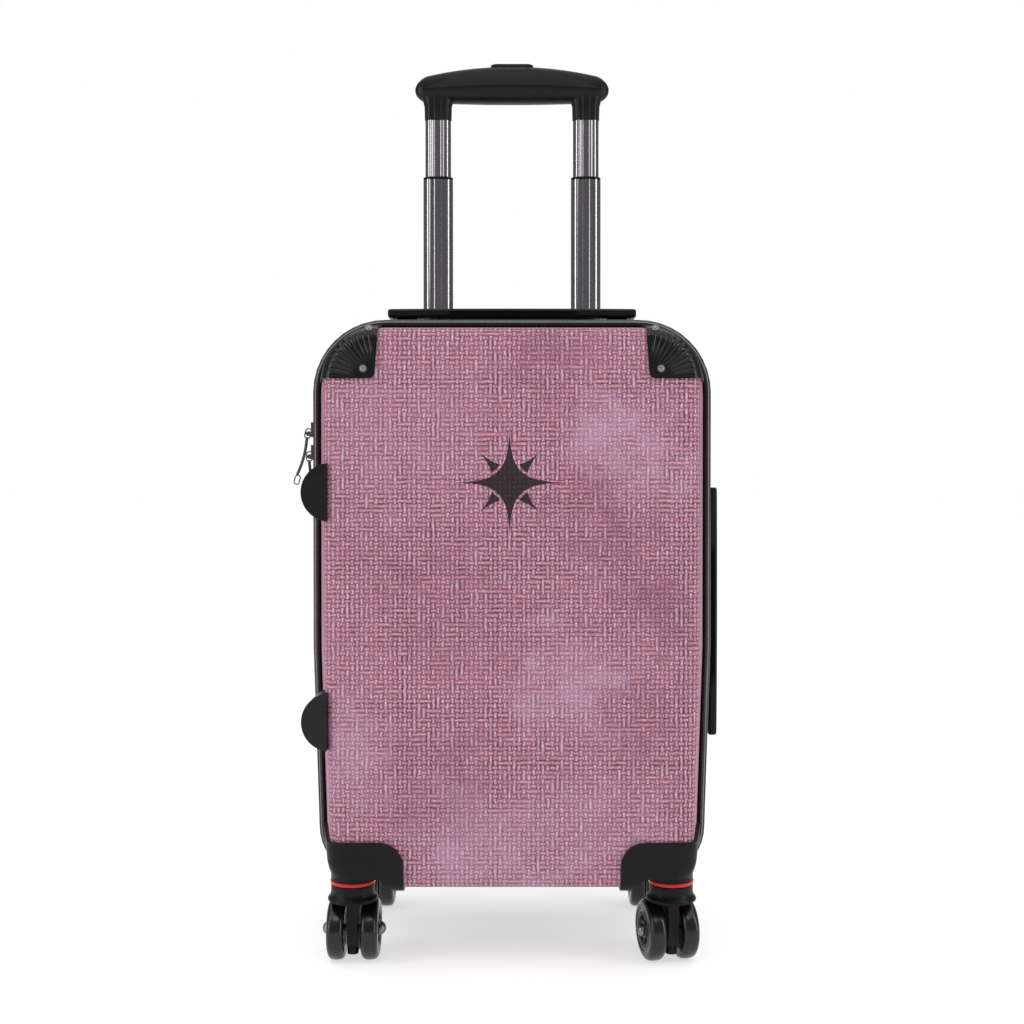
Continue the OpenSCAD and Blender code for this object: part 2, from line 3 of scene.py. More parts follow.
import logging
import math
from collections.abc import Callable, Iterable
from dataclasses import dataclass, field
from enum import Enum

import bmesh
import bpy
from mathutils import Matrix, Vector


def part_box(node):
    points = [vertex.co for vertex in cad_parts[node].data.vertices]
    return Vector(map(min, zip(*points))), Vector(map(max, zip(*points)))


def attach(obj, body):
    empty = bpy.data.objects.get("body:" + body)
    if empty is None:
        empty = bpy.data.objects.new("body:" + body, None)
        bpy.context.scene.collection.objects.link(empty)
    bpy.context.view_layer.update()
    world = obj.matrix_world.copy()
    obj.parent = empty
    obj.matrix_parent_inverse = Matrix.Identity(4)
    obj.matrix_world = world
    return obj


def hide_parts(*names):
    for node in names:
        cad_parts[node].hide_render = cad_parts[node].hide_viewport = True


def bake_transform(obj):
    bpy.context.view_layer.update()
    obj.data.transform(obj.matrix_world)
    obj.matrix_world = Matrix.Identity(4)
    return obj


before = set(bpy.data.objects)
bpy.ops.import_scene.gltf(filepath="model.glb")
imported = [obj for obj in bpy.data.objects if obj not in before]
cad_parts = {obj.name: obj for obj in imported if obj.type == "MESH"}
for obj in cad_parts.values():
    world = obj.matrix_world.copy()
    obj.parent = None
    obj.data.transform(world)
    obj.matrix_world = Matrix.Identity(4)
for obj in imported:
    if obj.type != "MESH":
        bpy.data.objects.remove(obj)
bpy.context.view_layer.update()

log = logging.getLogger("suitcase")
MM = 0.001
Colour = tuple[float, float, float]
Point = tuple[float, float, float]


class Half(Enum):
    """The two halves of the case, with the direction of their faces along Y."""

    FRONT = -1
    REAR = 1

    @property
    def word(self) -> str:
        """The half's name as the nodes use it."""
        return self.name.lower()

    @property
    def body(self) -> str:
        """The body that the half's fixed pieces ride on."""
        return "lid" if self is Half.FRONT else "case_body"


# ---------------------------------------------------------------- shader kit


class Value:
    """A shader socket that takes part in Python arithmetic."""

    def __init__(self, recipe: "Recipe", socket: bpy.types.NodeSocket) -> None:
        """Keeps the socket and the recipe that owns its tree."""
        self.recipe = recipe
        self.socket = socket

    def math(self, operation: str, *others: "Value | float", clamp: bool = False) -> "Value":
        """Adds a Math node with this value first.

        Args:
            operation: The Math node's operation.
            others: The second and third operands.
            clamp: Whether the result stays between 0 and 1.

        Returns:
            The node's result.
        """
        return self.recipe.add("ShaderNodeMath", {"operation": operation, "use_clamp": clamp}, self, *others)

    def __add__(self, other: "Value | float") -> "Value":
        """Sum."""
        return self.math("ADD", other)

    def __radd__(self, other: float) -> "Value":
        """Sum, from the right."""
        return self.math("ADD", other)

    def __sub__(self, other: "Value | float") -> "Value":
        """Difference."""
        return self.math("SUBTRACT", other)

    def __rsub__(self, other: float) -> "Value":
        """Difference, from the right."""
        return self.recipe.add("ShaderNodeMath", {"operation": "SUBTRACT"}, other, self)

    def __mul__(self, other: "Value | float") -> "Value":
        """Product."""
        return self.math("MULTIPLY", other)

    def __rmul__(self, other: float) -> "Value":
        """Product, from the right."""
        return self.math("MULTIPLY", other)

    def __truediv__(self, other: "Value | float") -> "Value":
        """Quotient."""
        return self.math("DIVIDE", other)

    def __pow__(self, other: "Value | float") -> "Value":
        """Power."""
        return self.math("POWER", other)

    def __abs__(self) -> "Value":
        """Absolute value."""
        return self.math("ABSOLUTE")

    def floor(self) -> "Value":
        """Whole part."""
        return self.math("FLOOR")

    def fract(self) -> "Value":
        """Fractional part."""
        return self.math("FRACT")

    def least(self, other: "Value | float") -> "Value":
        """The smaller of two values."""
        return self.math("MINIMUM", other)

    def most(self, other: "Value | float") -> "Value":
        """The larger of two values."""
        return self.math("MAXIMUM", other)

    def ramp(self, low: float, high: float, to_low: float = 0.0, to_high: float = 1.0) -> "Value":
        """A smooth step.

        Args:
            low: Where the step starts.
            high: Where it ends.
            to_low: The value at its start.
            to_high: The value at its end.

        Returns:
            The stepped value.
        """
        return self.recipe.add("ShaderNodeMapRange", {"interpolation_type": "SMOOTHSTEP"},
                               self, low, high, to_low, to_high)


class Recipe:
    """A material under construction: one principled shader and the nodes that feed it."""

    def __init__(self, name: str) -> None:
        """Makes an empty material with a principled shader.

        Args:
            name: The material's name.
        """
        self.material = bpy.data.materials.new(name)
        self.material.use_nodes = True
        self.tree = self.material.node_tree
        self.shader = self.tree.nodes["Principled BSDF"]

    def add(self, kind: str, settings: dict[str, object], *inputs: object, output: int | str = 0,
            **named: object) -> Value:
        """Adds one node.

        Args:
            kind: The node's type.
            settings: The node's own properties, which are set before its sockets.
            inputs: Values or links of its sockets, in order; None leaves one alone.
            output: Which of its results to return.
            named: Values or links of sockets by name, with _ for a space.

        Returns:
            The chosen result.
        """
        node = self.tree.nodes.new(kind)
        for key, value in settings.items():
            setattr(node, key, value)
        chosen = dict(enumerate(inputs)) | {key.replace("_", " "): value for key, value in named.items()}
        for key, value in chosen.items():
            if isinstance(value, Value):
                self.tree.links.new(value.socket, node.inputs[key])
            elif value is not None:
                node.inputs[key].default_value = value
        return Value(self, node.outputs[output])

    def place(self, uv: bool = False) -> Value:
        """The point being shaded, in object or map coordinates."""
        return self.add("ShaderNodeTexCoord", {}, output="UV" if uv else "Object")

    def axes(self, vector: Value) -> tuple[Value, Value, Value]:
        """A vector's three parts."""
        node = self.tree.nodes.new("ShaderNodeSeparateXYZ")
        self.tree.links.new(vector.socket, node.inputs[0])
        return tuple(Value(self, node.outputs[i]) for i in range(3))

    def vector(self, x: Value | float, y: Value | float, z: Value | float) -> Value:
        """A vector from three parts."""
        return self.add("ShaderNodeCombineXYZ", {}, x, y, z)

    def noise(self, where: Value, scale: float, detail: float = 2.0, rough: float = 0.5) -> Value:
        """Soft noise between 0 and 1."""
        return self.add("ShaderNodeTexNoise", {}, Vector=where, Scale=scale, Detail=detail, Roughness=rough)

    def white(self, where: Value) -> Value:
        """One random value for each whole cell."""
        return self.add("ShaderNodeTexWhiteNoise", {"noise_dimensions": "2D"}, Vector=where, output="Value")

    def mix(self, share: Value | float, a: Colour | Value, b: Colour | Value, blend: str = "MIX") -> Value:
        """A blend of two colours.

        Args:
            share: How much of b.
            a: The first colour.
            b: The second colour.
            blend: The blend type.

        Returns:
            The blended colour.
        """
        node = self.tree.nodes.new("ShaderNodeMix")
        node.data_type = "RGBA"
        node.blend_type = blend
        for index, value in ((0, share), (6, a), (7, b)):
            if isinstance(value, Value):
                self.tree.links.new(value.socket, node.inputs[index])
            else:
                node.inputs[index].default_value = value if index == 0 else (*value, 1.0)
        return Value(self, node.outputs[2])

    def bump(self, height: Value, depth: float, strength: float = 1.0) -> None:
        """Feeds the shader's normal from a height.

        Args:
            height: The height, between 0 and 1.
            depth: What a height of 1 stands for, in metres.
            strength: The bump's strength.
        """
        node = self.tree.nodes.new("ShaderNodeBump")
        node.inputs["Strength"].default_value = strength
        node.inputs["Distance"].default_value = depth
        self.tree.links.new(height.socket, node.inputs["Height"])
        self.tree.links.new(node.outputs[0], self.shader.inputs["Normal"])

    def set(self, **sockets: object) -> "Recipe":
        """Sets or links the shader's sockets, with _ for a space."""
        for key, value in sockets.items():
            target = self.shader.inputs[key.replace("_", " ")]
            if isinstance(value, Value):
                self.tree.links.new(value.socket, target)
            else:
                target.default_value = (*value, 1.0) if isinstance(value, tuple) else value
        return self


# ---------------------------------------------------------------- finishes


@dataclass(frozen=True)
class Blotch:
    """One large soft patch of a print."""

    u: float
    v: float
    radius: float
    strength: float


@dataclass(frozen=True)
class WovenPrint:
    """A satin film printed with a rose and lilac plain weave, with an eight-pointed star on the front."""

    name: str = "woven_print"
    pitch: float = 3.9 * MM
    warp: Colour = (0.70, 0.50, 0.63)
    weft: Colour = (0.72, 0.38, 0.44)
    body: Colour = (0.325, 0.124, 0.190)
    gap: Colour = (0.062, 0.018, 0.034)
    star_at: tuple[float, float] = (-2 * MM, 407 * MM)
    star_r: float = 53 * MM
    pale: tuple[Blotch, ...] = (
        Blotch(90 * MM, 430 * MM, 38 * MM, 0.85), Blotch(40 * MM, 235 * MM, 42 * MM, 0.7),
        Blotch(-125 * MM, 180 * MM, 40 * MM, 0.6), Blotch(-20 * MM, 95 * MM, 60 * MM, 0.75),
        Blotch(-90 * MM, 440 * MM, 60 * MM, 0.35), Blotch(85 * MM, 110 * MM, 45 * MM, 0.45))
    deep: tuple[Blotch, ...] = (
        Blotch(70 * MM, 370 * MM, 42 * MM, 0.7), Blotch(115 * MM, 315 * MM, 40 * MM, 0.8),
        Blotch(25 * MM, 505 * MM, 45 * MM, 0.55), Blotch(-60 * MM, 165 * MM, 42 * MM, 0.6),
        Blotch(105 * MM, 215 * MM, 38 * MM, 0.6), Blotch(-60 * MM, 320 * MM, 60 * MM, 0.45))

    def star(self, u: Value, v: Value) -> Value:
        """The printed star: a long and a short four-pointed star, parted by a thin gap.

        Args:
            u: Distance across the panel.
            v: Height on the panel.

        Returns:
            A mask that is 1 on the ink.
        """
        x = abs(u - self.star_at[0]) / self.star_r
        y = abs(v - self.star_at[1]) / self.star_r
        long_way = x ** 0.40 + y ** 0.40
        short_way = (abs(x - y) * 1.02) ** 0.52 + ((x + y) * 1.02) ** 0.52
        long_points = long_way.ramp(0.99, 1.01, 1, 0)
        short_points = short_way.ramp(0.99, 1.01, 1, 0) * long_way.ramp(1.05, 1.07)
        return long_points.most(short_points)

    def patches(self, r: Recipe, u: Value, v: Value, blotches: tuple[Blotch, ...]) -> Value:
        """Adds up soft patches with ragged edges.

        Args:
            r: The recipe.
            u: Distance across the panel.
            v: Height on the panel.
            blotches: The patches.

        Returns:
            Their strength, from 0 up.
        """
        ragged = r.noise(r.vector(u, v, 0.8), 34, 5, 0.72).ramp(0.34, 0.66) * 1.2 + 0.30
        u = u + (r.noise(r.vector(u, v, 2.3), 16, 4, 0.7) - 0.5) * 0.16
        v = v + (r.noise(r.vector(u, v, 5.1), 16, 4, 0.7) - 0.5) * 0.16
        total = None
        for blotch in blotches:
            du, dv = (u - blotch.u) / blotch.radius, (v - blotch.v) / blotch.radius
            here = (du * du + dv * dv).ramp(0.0, 1.9, blotch.strength, 0)
            total = here if total is None else total + here
        return total * ragged

    def build(self) -> bpy.types.Material:
        """Makes the material."""
        r = Recipe(self.name)
        u0, v0, _ = r.axes(r.place(uv=True))
        flat = r.vector(u0, v0, 0.0)
        waver = 0.32 * self.pitch
        u = u0 + (r.noise(flat, 90, 2) - 0.5) * waver * 1.7 + (r.noise(flat, 420, 1) - 0.5) * waver
        v = v0 + (r.noise(r.vector(v0, u0, 0.3), 95, 2) - 0.5) * waver * 1.7 \
            + (r.noise(r.vector(v0, u0, 0.7), 400, 1) - 0.5) * waver
        pu, pv = u / self.pitch, v / self.pitch
        cu, cv = pu.floor(), pv.floor()
        across, along = abs(pu.fract() - 0.5) * 2, abs(pv.fract() - 0.5) * 2
        flip = r.white(r.vector(cu, cv, 0.0)).ramp(0.88, 0.90)
        order = abs((cu + cv).math("MODULO", 2.0))
        over = abs(order - flip)
        wide_u = r.white(r.vector(cu, 7.0, 0.0)) * 0.30 + 0.68
        wide_v = r.white(r.vector(3.0, cv, 0.0)) * 0.30 + 0.68
        warp_here = (across - wide_u).ramp(-0.16, 0.16, 1, 0)
        weft_here = (along - wide_v).ramp(-0.16, 0.16, 1, 0)
        fibre_u = r.noise(r.vector(u0 * 9, v0, 0.0), 260, 3, 0.7)
        fibre_v = r.noise(r.vector(u0, v0 * 9, 0.5), 260, 3, 0.7)
        core_u = (across + (fibre_u - 0.5) * 1.5).ramp(0.10, 0.62, 1, 0)
        core_v = (along + (fibre_v - 0.5) * 1.5).ramp(0.10, 0.62, 1, 0)
        warp_top = warp_here * (over * 0.62 + 0.38) * (1 - along * 0.22)
        weft_top = weft_here * ((1 - over) * 0.62 + 0.38) * (1 - across * 0.22)
        height = warp_top.most(weft_top)
        tone_u = r.noise(r.vector(u0 * 3, v0, 0.2), 150, 3, 0.7).ramp(0.32, 0.70)
        tone_v = r.noise(r.vector(u0, v0 * 3, 0.9), 150, 3, 0.7).ramp(0.32, 0.70)
        warp_colour = r.mix(core_u * (tone_u * 0.85 + 0.25), self.body, self.warp)
        weft_colour = r.mix(core_v * (tone_v * 0.85 + 0.25), self.body, self.weft)
        thread = r.mix((warp_top - weft_top).ramp(-0.10, 0.10), weft_colour, warp_colour)
        grit = r.noise(flat, 620, 3, 0.8).ramp(0.30, 0.62)
        cloth = r.mix(height.ramp(0.15, 0.66) * (grit * 0.45 + 0.55), self.gap, thread)
        pale = (self.patches(r, u0, v0, self.pale) * 0.36).least(0.5)
        deep = (self.patches(r, u0, v0, self.deep) * 0.40).least(0.5)
        cloth = r.mix(deep, cloth, (0.175, 0.055, 0.100))
        cloth = r.mix(pale, cloth, (0.50, 0.32, 0.46))
        speck = r.noise(flat, 900, 2, 0.8).ramp(0.62, 0.80)
        cloth = r.mix(speck * 0.28, cloth, (0.62, 0.46, 0.58))
        ink = self.star(u0, v0) * (0.90 + r.noise(flat, 500, 1) * 0.1)
        r.set(Base_Color=r.mix(ink, cloth, (0.010, 0.009, 0.010)), Roughness=height * 0.10 + 0.45,
              Specular_IOR_Level=0.22)
        r.bump(height, 0.12 * MM, 0.3)
        return r.material


@dataclass(frozen=True)
class Moulded:
    """Black or coloured moulded plastic: fine grain, slight tone changes and worn shine."""

    name: str
    colour: Colour = (0.0035, 0.0035, 0.0038)
    lighter: Colour = (0.0065, 0.0065, 0.0070)
    rough: float = 0.42
    rough_spread: float = 0.14
    grain: float = 1400.0
    grain_depth: float = 0.03 * MM
    coat: float = 0.0
    shine: float = 0.16

    def build(self) -> bpy.types.Material:
        """Makes the material."""
        r = Recipe(self.name)
        at = r.place()
        tone = r.noise(at, 26, 3, 0.6)
        grain = r.noise(at, self.grain, 2, 0.6)
        smear = r.noise(at, 70, 4, 0.7).ramp(0.35, 0.75)
        r.set(Base_Color=r.mix(tone, self.colour, self.lighter),
              Roughness=(smear - 0.5) * self.rough_spread + self.rough,
              Coat_Weight=self.coat, Coat_Roughness=0.12, Specular_IOR_Level=self.shine)
        r.bump(grain, self.grain_depth, 0.5)
        return r.material


@dataclass(frozen=True)
class Anodised:
    """Anodised or plated metal with fine drawn lines along one axis."""

    name: str
    colour: Colour
    rough: float = 0.28
    metallic: float = 1.0
    stretch: Point = (1.0, 1.0, 0.02)

    def build(self) -> bpy.types.Material:
        """Makes the material."""
        r = Recipe(self.name)
        at = r.add("ShaderNodeMapping", {}, r.place(), Scale=self.stretch)
        lines = r.noise(at, 500, 2, 0.5)
        wear = r.noise(r.place(), 60, 3, 0.6)
        bright = tuple(min(1.0, c * 1.25 + 0.01) for c in self.colour)
        r.set(Base_Color=r.mix(lines * 0.6 + wear * 0.4, self.colour, bright), Metallic=self.metallic,
              Roughness=lines * 0.04 + wear * 0.06 + self.rough - 0.05)
        return r.material


@dataclass(frozen=True)
class WovenCloth:
    """Plain woven polyester, for tapes, linings and straps."""

    name: str
    colour: Colour
    lighter: Colour
    pitch: float = 0.9 * MM
    rough: float = 0.8

    def build(self) -> bpy.types.Material:
        """Makes the material."""
        r = Recipe(self.name)
        x, y, z = r.axes(r.place())
        a, b = (x + y) / self.pitch, (z + y * 0.37) / self.pitch
        ridge = (abs(a.fract() - 0.5)).most(abs(b.fract() - 0.5)) * 2
        weave = abs(((a.floor() + b.floor()).math("MODULO", 2.0))) * 0.4 + (1 - ridge) * 0.6
        cloud = r.noise(r.place(), 35, 3)
        r.set(Base_Color=r.mix(weave * 0.7 + cloud * 0.3, self.colour, self.lighter),
              Roughness=self.rough - weave * 0.1, Sheen_Weight=0.25)
        r.bump(weave, 0.1 * MM, 0.5)
        return r.material


@dataclass
class Palette:
    """Every finish of the suitcase, built once."""

    built: dict[str, bpy.types.Material] = field(default_factory=dict)

    def __post_init__(self) -> None:
        """Builds the materials."""
        finishes = (
            WovenPrint(),
            Moulded("black_shell", rough=0.24, rough_spread=0.10, grain=500, grain_depth=0.02 * MM, coat=0.15),
            Moulded("housing_plastic", rough=0.44, grain=1600, grain_depth=0.05 * MM),
            Moulded("guard_plastic", rough=0.28, rough_spread=0.16, grain=900, grain_depth=0.02 * MM, shine=0.24),
            Moulded("rim_plastic", rough=0.22, rough_spread=0.10, grain=700, grain_depth=0.02 * MM, shine=0.5),
            # painted highlight: a light grey bead that stands for the light line on the glossy black rims
            Moulded("piping", colour=(0.13, 0.13, 0.135), lighter=(0.26, 0.26, 0.27), rough=0.3, shine=0.5),
            Moulded("handle_plastic", colour=(0.0045, 0.0050, 0.0054), lighter=(0.008, 0.0085, 0.0092),
                    rough=0.38),
            Moulded("soft_touch", colour=(0.010, 0.0105, 0.011), lighter=(0.015, 0.016, 0.0175), rough=0.58,
                    grain=2200, grain_depth=0.06 * MM),
            Moulded("tyre_rubber", rough=0.27, rough_spread=0.16, grain=1200, shine=0.42),
            Moulded("hub_plastic", colour=(0.030, 0.030, 0.032), lighter=(0.055, 0.055, 0.058), rough=0.4),
            Moulded("red_gloss", colour=(0.55, 0.010, 0.014), lighter=(0.66, 0.020, 0.022), rough=0.22,
                    rough_spread=0.06, grain=600, grain_depth=0.01 * MM, coat=0.3),
            Moulded("pull_rubber", colour=(0.06, 0.06, 0.063), lighter=(0.11, 0.11, 0.115), rough=0.5),
            Anodised("dark_tube", colour=(0.24, 0.23, 0.245), rough=0.17),
            Anodised("bare_tube", colour=(0.50, 0.50, 0.52), rough=0.30),
            Anodised("cap_bronze", colour=(0.22, 0.18, 0.14), rough=0.35, stretch=(1, 1, 1)),
            Anodised("gunmetal", colour=(0.10, 0.10, 0.105), rough=0.30, stretch=(1, 1, 1)),
            Anodised("rivet_steel", colour=(0.20, 0.185, 0.17), rough=0.34, stretch=(1, 1, 1)),
            WovenCloth("zip_cloth", (0.005, 0.005, 0.0055), (0.014, 0.014, 0.015)),
            WovenCloth("lining_cloth", (0.10, 0.10, 0.11), (0.17, 0.17, 0.185), pitch=0.7 * MM),
            WovenCloth("strap_cloth", (0.012, 0.012, 0.013), (0.03, 0.03, 0.033), pitch=1.2 * MM),
        )
        for finish in finishes:
            self.built[finish.name] = finish.build()

    def dress(self, piece: bpy.types.Object, finish: str) -> None:
        """Gives a piece, or a kept CAD node, one finish.

        Args:
            piece: The object to dress.
            finish: The finish's name.
        """
        if not piece.material_slots:
            piece.data.materials.append(self.built[finish])
        for slot in piece.material_slots:
            slot.material = self.built[finish]


# ---------------------------------------------------------------- modelling bench


def mm(*points: tuple[float, ...]) -> list[tuple[float, ...]]:
    """Points given in millimetres, in metres."""
    return [tuple(part * MM for part in point) for point in points]


def deselect() -> None:
    """Leaves edit mode and deselects everything."""
    if bpy.context.object and bpy.context.object.mode != "OBJECT":
        bpy.ops.object.mode_set(mode="OBJECT")
    bpy.ops.object.select_all(action="DESELECT")


def take(piece: bpy.types.Object) -> None:
    """Makes one object the only selected and active one."""
    deselect()
    piece.select_set(True)
    bpy.context.view_layer.objects.active = piece


def settle(piece: bpy.types.Object) -> bpy.types.Object:
    """Moves an object's place, turn and scale into its mesh."""
    take(piece)
    bpy.ops.object.transform_apply(location=True, rotation=True, scale=True)
    return piece


def cube(name: str, low: Iterable[float], high: Iterable[float]) -> bpy.types.Object:
    """Adds a box primitive between two corners.

    Args:
        name: The new object's name.
        low: The lowest corner, in metres.
        high: The highest corner.

    Returns:
        The object, with its place in its mesh.
    """
    deselect()
    low, high = Vector(low), Vector(high)
    bpy.ops.mesh.primitive_cube_add(size=1, location=(low + high) / 2)
    piece = bpy.context.object
    piece.name = name
    piece.scale = high - low
    return settle(piece)


def cylinder(name: str, centre: Iterable[float], radius: float, depth: float, axis: Iterable[float] = (0, 0, 1),
             sides: int = 48) -> bpy.types.Object:
    """Adds a cylinder primitive about an axis.

    Args:
        name: The new object's name.
        centre: Its middle, in metres.
        radius: Its radius.
        depth: Its length along the axis.
        axis: The axis's direction.
        sides: Its number of sides.

    Returns:
        The object, with its place in its mesh.
    """
    deselect()
    turn = Vector((0, 0, 1)).rotation_difference(Vector(axis)).to_euler()
    bpy.ops.mesh.primitive_cylinder_add(vertices=sides, radius=radius, depth=depth, location=centre, rotation=turn)
    piece = bpy.context.object
    piece.name = name
    return settle(piece)


def done(piece: bpy.types.Object) -> bpy.types.Object:
    """Leaves edit mode."""
    if piece.mode != "OBJECT":
        bpy.ops.object.mode_set(mode="OBJECT")
    return piece


def modify(piece: bpy.types.Object, kind: str, **settings: object) -> bpy.types.Object:
    """Adds a modifier and applies it.

    Args:
        piece: The object.
        kind: The modifier's type.
        settings: Its properties.

    Returns:
        The same object.
    """
    take(piece)
    made = piece.modifiers.new(kind.lower(), kind)
    for key, value in settings.items():
        setattr(made, key, value)
    bpy.ops.object.modifier_apply(modifier=made.name)
    return piece


def smooth(piece: bpy.types.Object, degrees: float = 35.0, weighted: bool = True) -> bpy.types.Object:
    """Shades a piece smooth below an angle, with large faces kept flat."""
    take(piece)
    bpy.ops.object.shade_smooth_by_angle(angle=math.radians(degrees))
    if weighted:
        modify(piece, "WEIGHTED_NORMAL", keep_sharp=True, weight=60)
    return piece


def join(name: str, pieces: list[bpy.types.Object]) -> bpy.types.Object:
    """Joins several pieces into one object."""
    take(pieces[0])
    for piece in pieces[1:]:
        piece.select_set(True)
    if len(pieces) > 1:
        bpy.ops.object.join()
    bpy.context.object.name = name
    return bpy.context.object


def copy_of_node(node: str, name: str) -> bpy.types.Object:
    """Copies a CAD node's mesh into a new piece, with its loose triangles merged.

    Args:
        node: The CAD node.
        name: The new piece's name.

    Returns:
        The new piece.
    """
    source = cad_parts[node]
    piece = bpy.data.objects.new(name, source.data.copy())
    bpy.context.scene.collection.objects.link(piece)
    piece.data.materials.clear()
    take(piece)
    bpy.ops.object.mode_set(mode="EDIT")
    bpy.ops.mesh.select_all(action="SELECT")
    bpy.ops.mesh.customdata_custom_splitnormals_clear()
    bpy.ops.mesh.remove_doubles(threshold=0.002 * MM)
    bpy.ops.mesh.dissolve_limited(angle_limit=math.radians(0.5))
    return done(piece)


def rounded_copy(node: str, name: str, width: float, segments: int = 3, degrees: float = 38.0
                 ) -> bpy.types.Object:
    """Copies a CAD node and rounds its sharp edges.

    Args:
        node: The CAD node.
        name: The new piece's name.
        width: The radius of the rounding, in metres.
        segments: The steps in the rounding.
        degrees: Edges that turn by more than this are rounded.

    Returns:
        The new piece.
    """
    piece = copy_of_node(node, name)
    modify(piece, "BEVEL", width=width, segments=segments, limit_method="ANGLE",
           angle_limit=math.radians(degrees), harden_normals=False, use_clamp_overlap=True,
           miter_outer="MITER_ARC")
    return smooth(piece, 40)


@dataclass
class Assembly:
    """Base of the sub-assemblies: dresses, mounts and reports pieces."""

    palette: Palette

    def mount(self, piece: bpy.types.Object, body: str, slot: str, finish: str, *nodes: str) -> bpy.types.Object:
        """Finishes a new piece and fixes it to its body.

        Args:
            piece: The new piece.
            body: The CAD body that it moves with.
            slot: The record's material slot; not used.
            finish: The palette's finish.
            nodes: The CAD nodes that it stands for.

        Returns:
            The piece.
        """
        done(piece)
        deselect()
        self.palette.dress(piece, finish)
        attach(piece, body)
        if nodes:
            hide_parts(*nodes)
        log.info("%s rides on %s", piece.name, body)
        return piece


# ---------------------------------------------------------------- studio


@dataclass
class Studio:
    """Floor, backdrop light, soft boxes and camera."""

    camera_at: Point = (0.0, -1.2125, 0.3955)
    pitch_down: float = 0.657
    lens: float = 47.236
    floor_size: float = 40.0
    room_light: float = 0.26
    overhead: float = 2.15
    floor_glow: float = 0.62

    def build(self) -> None:
        """Makes the floor, the lights and the camera."""
        scene = bpy.context.scene
        scene.view_settings.view_transform = "Standard"
        world = bpy.data.worlds.new("soft_white_room")
        world.use_nodes = True
        tree = world.node_tree
        room = tree.nodes["Background"]
        room.inputs["Color"].default_value = (1, 1, 1, 1)
        path = tree.nodes.new("ShaderNodeLightPath")
        share = tree.nodes.new("ShaderNodeMapRange")
        share.inputs["To Min"].default_value = self.room_light
        tree.links.new(path.outputs["Is Camera Ray"], share.inputs["Value"])
        tree.links.new(share.outputs[0], room.inputs["Strength"])
        scene.world = world
        deselect()
        bpy.ops.mesh.primitive_plane_add(size=self.floor_size, location=(0, 0, 0))
        floor = bpy.context.object
        floor.name = "pale_floor"
        paint = bpy.data.materials.new("pale_floor")
        paint.use_nodes = True
        shader = paint.node_tree.nodes["Principled BSDF"]
        for key, value in (("Base Color", (0.48, 0.48, 0.48, 1)), ("Roughness", 0.9), ("Specular IOR Level", 0.1),
                           ("Emission Color", (1, 1, 1, 1)), ("Emission Strength", self.floor_glow)):
            shader.inputs[key].default_value = value
        floor.data.materials.append(paint)
        self.soft_box("left_soft_box", (-1.7, -0.9, 0.8), (0, 0, 0.35), (0.4, 1.7), 13)
        self.soft_box("right_soft_box", (1.7, -0.9, 0.8), (0, 0, 0.35), (0.4, 1.7), 12)
        self.soft_box("front_soft_box", (0, -2.2, 2.6), (0, 0, 0.3), (1.8, 0.8), 12)
        overhead = bpy.data.lights.new("overhead", "SUN")
        overhead.angle, overhead.energy = math.radians(90), self.overhead
        holder = bpy.data.objects.new("overhead", overhead)
        scene.collection.objects.link(holder)
        camera = bpy.data.cameras.new("studio_camera")
        camera.lens, camera.sensor_width = self.lens, 36
        holder = bpy.data.objects.new("studio_camera", camera)
        scene.collection.objects.link(holder)
        holder.location = self.camera_at
        holder.rotation_euler = (math.radians(90 - self.pitch_down), 0, 0)
        scene.camera = holder

    def soft_box(self, name: str, at: Point, aim: Point, size: tuple[float, float], watts: float) -> None:
        """Adds one rectangular soft light.

        Args:
            name: The light's name.
            at: Its place.
            aim: The point it faces.
            size: Its width and height.
            watts: Its power.
        """
        light = bpy.data.lights.new(name, "AREA")
        light.shape = "RECTANGLE"
        light.size, light.size_y = size
        light.energy = watts
        holder = bpy.data.objects.new(name, light)
        bpy.context.scene.collection.objects.link(holder)
        holder.location = at
        holder.rotation_euler = (Vector(aim) - Vector(at)).to_track_quat("-Z", "Y").to_euler()


# ---------------------------------------------------------------- the case's own geometry


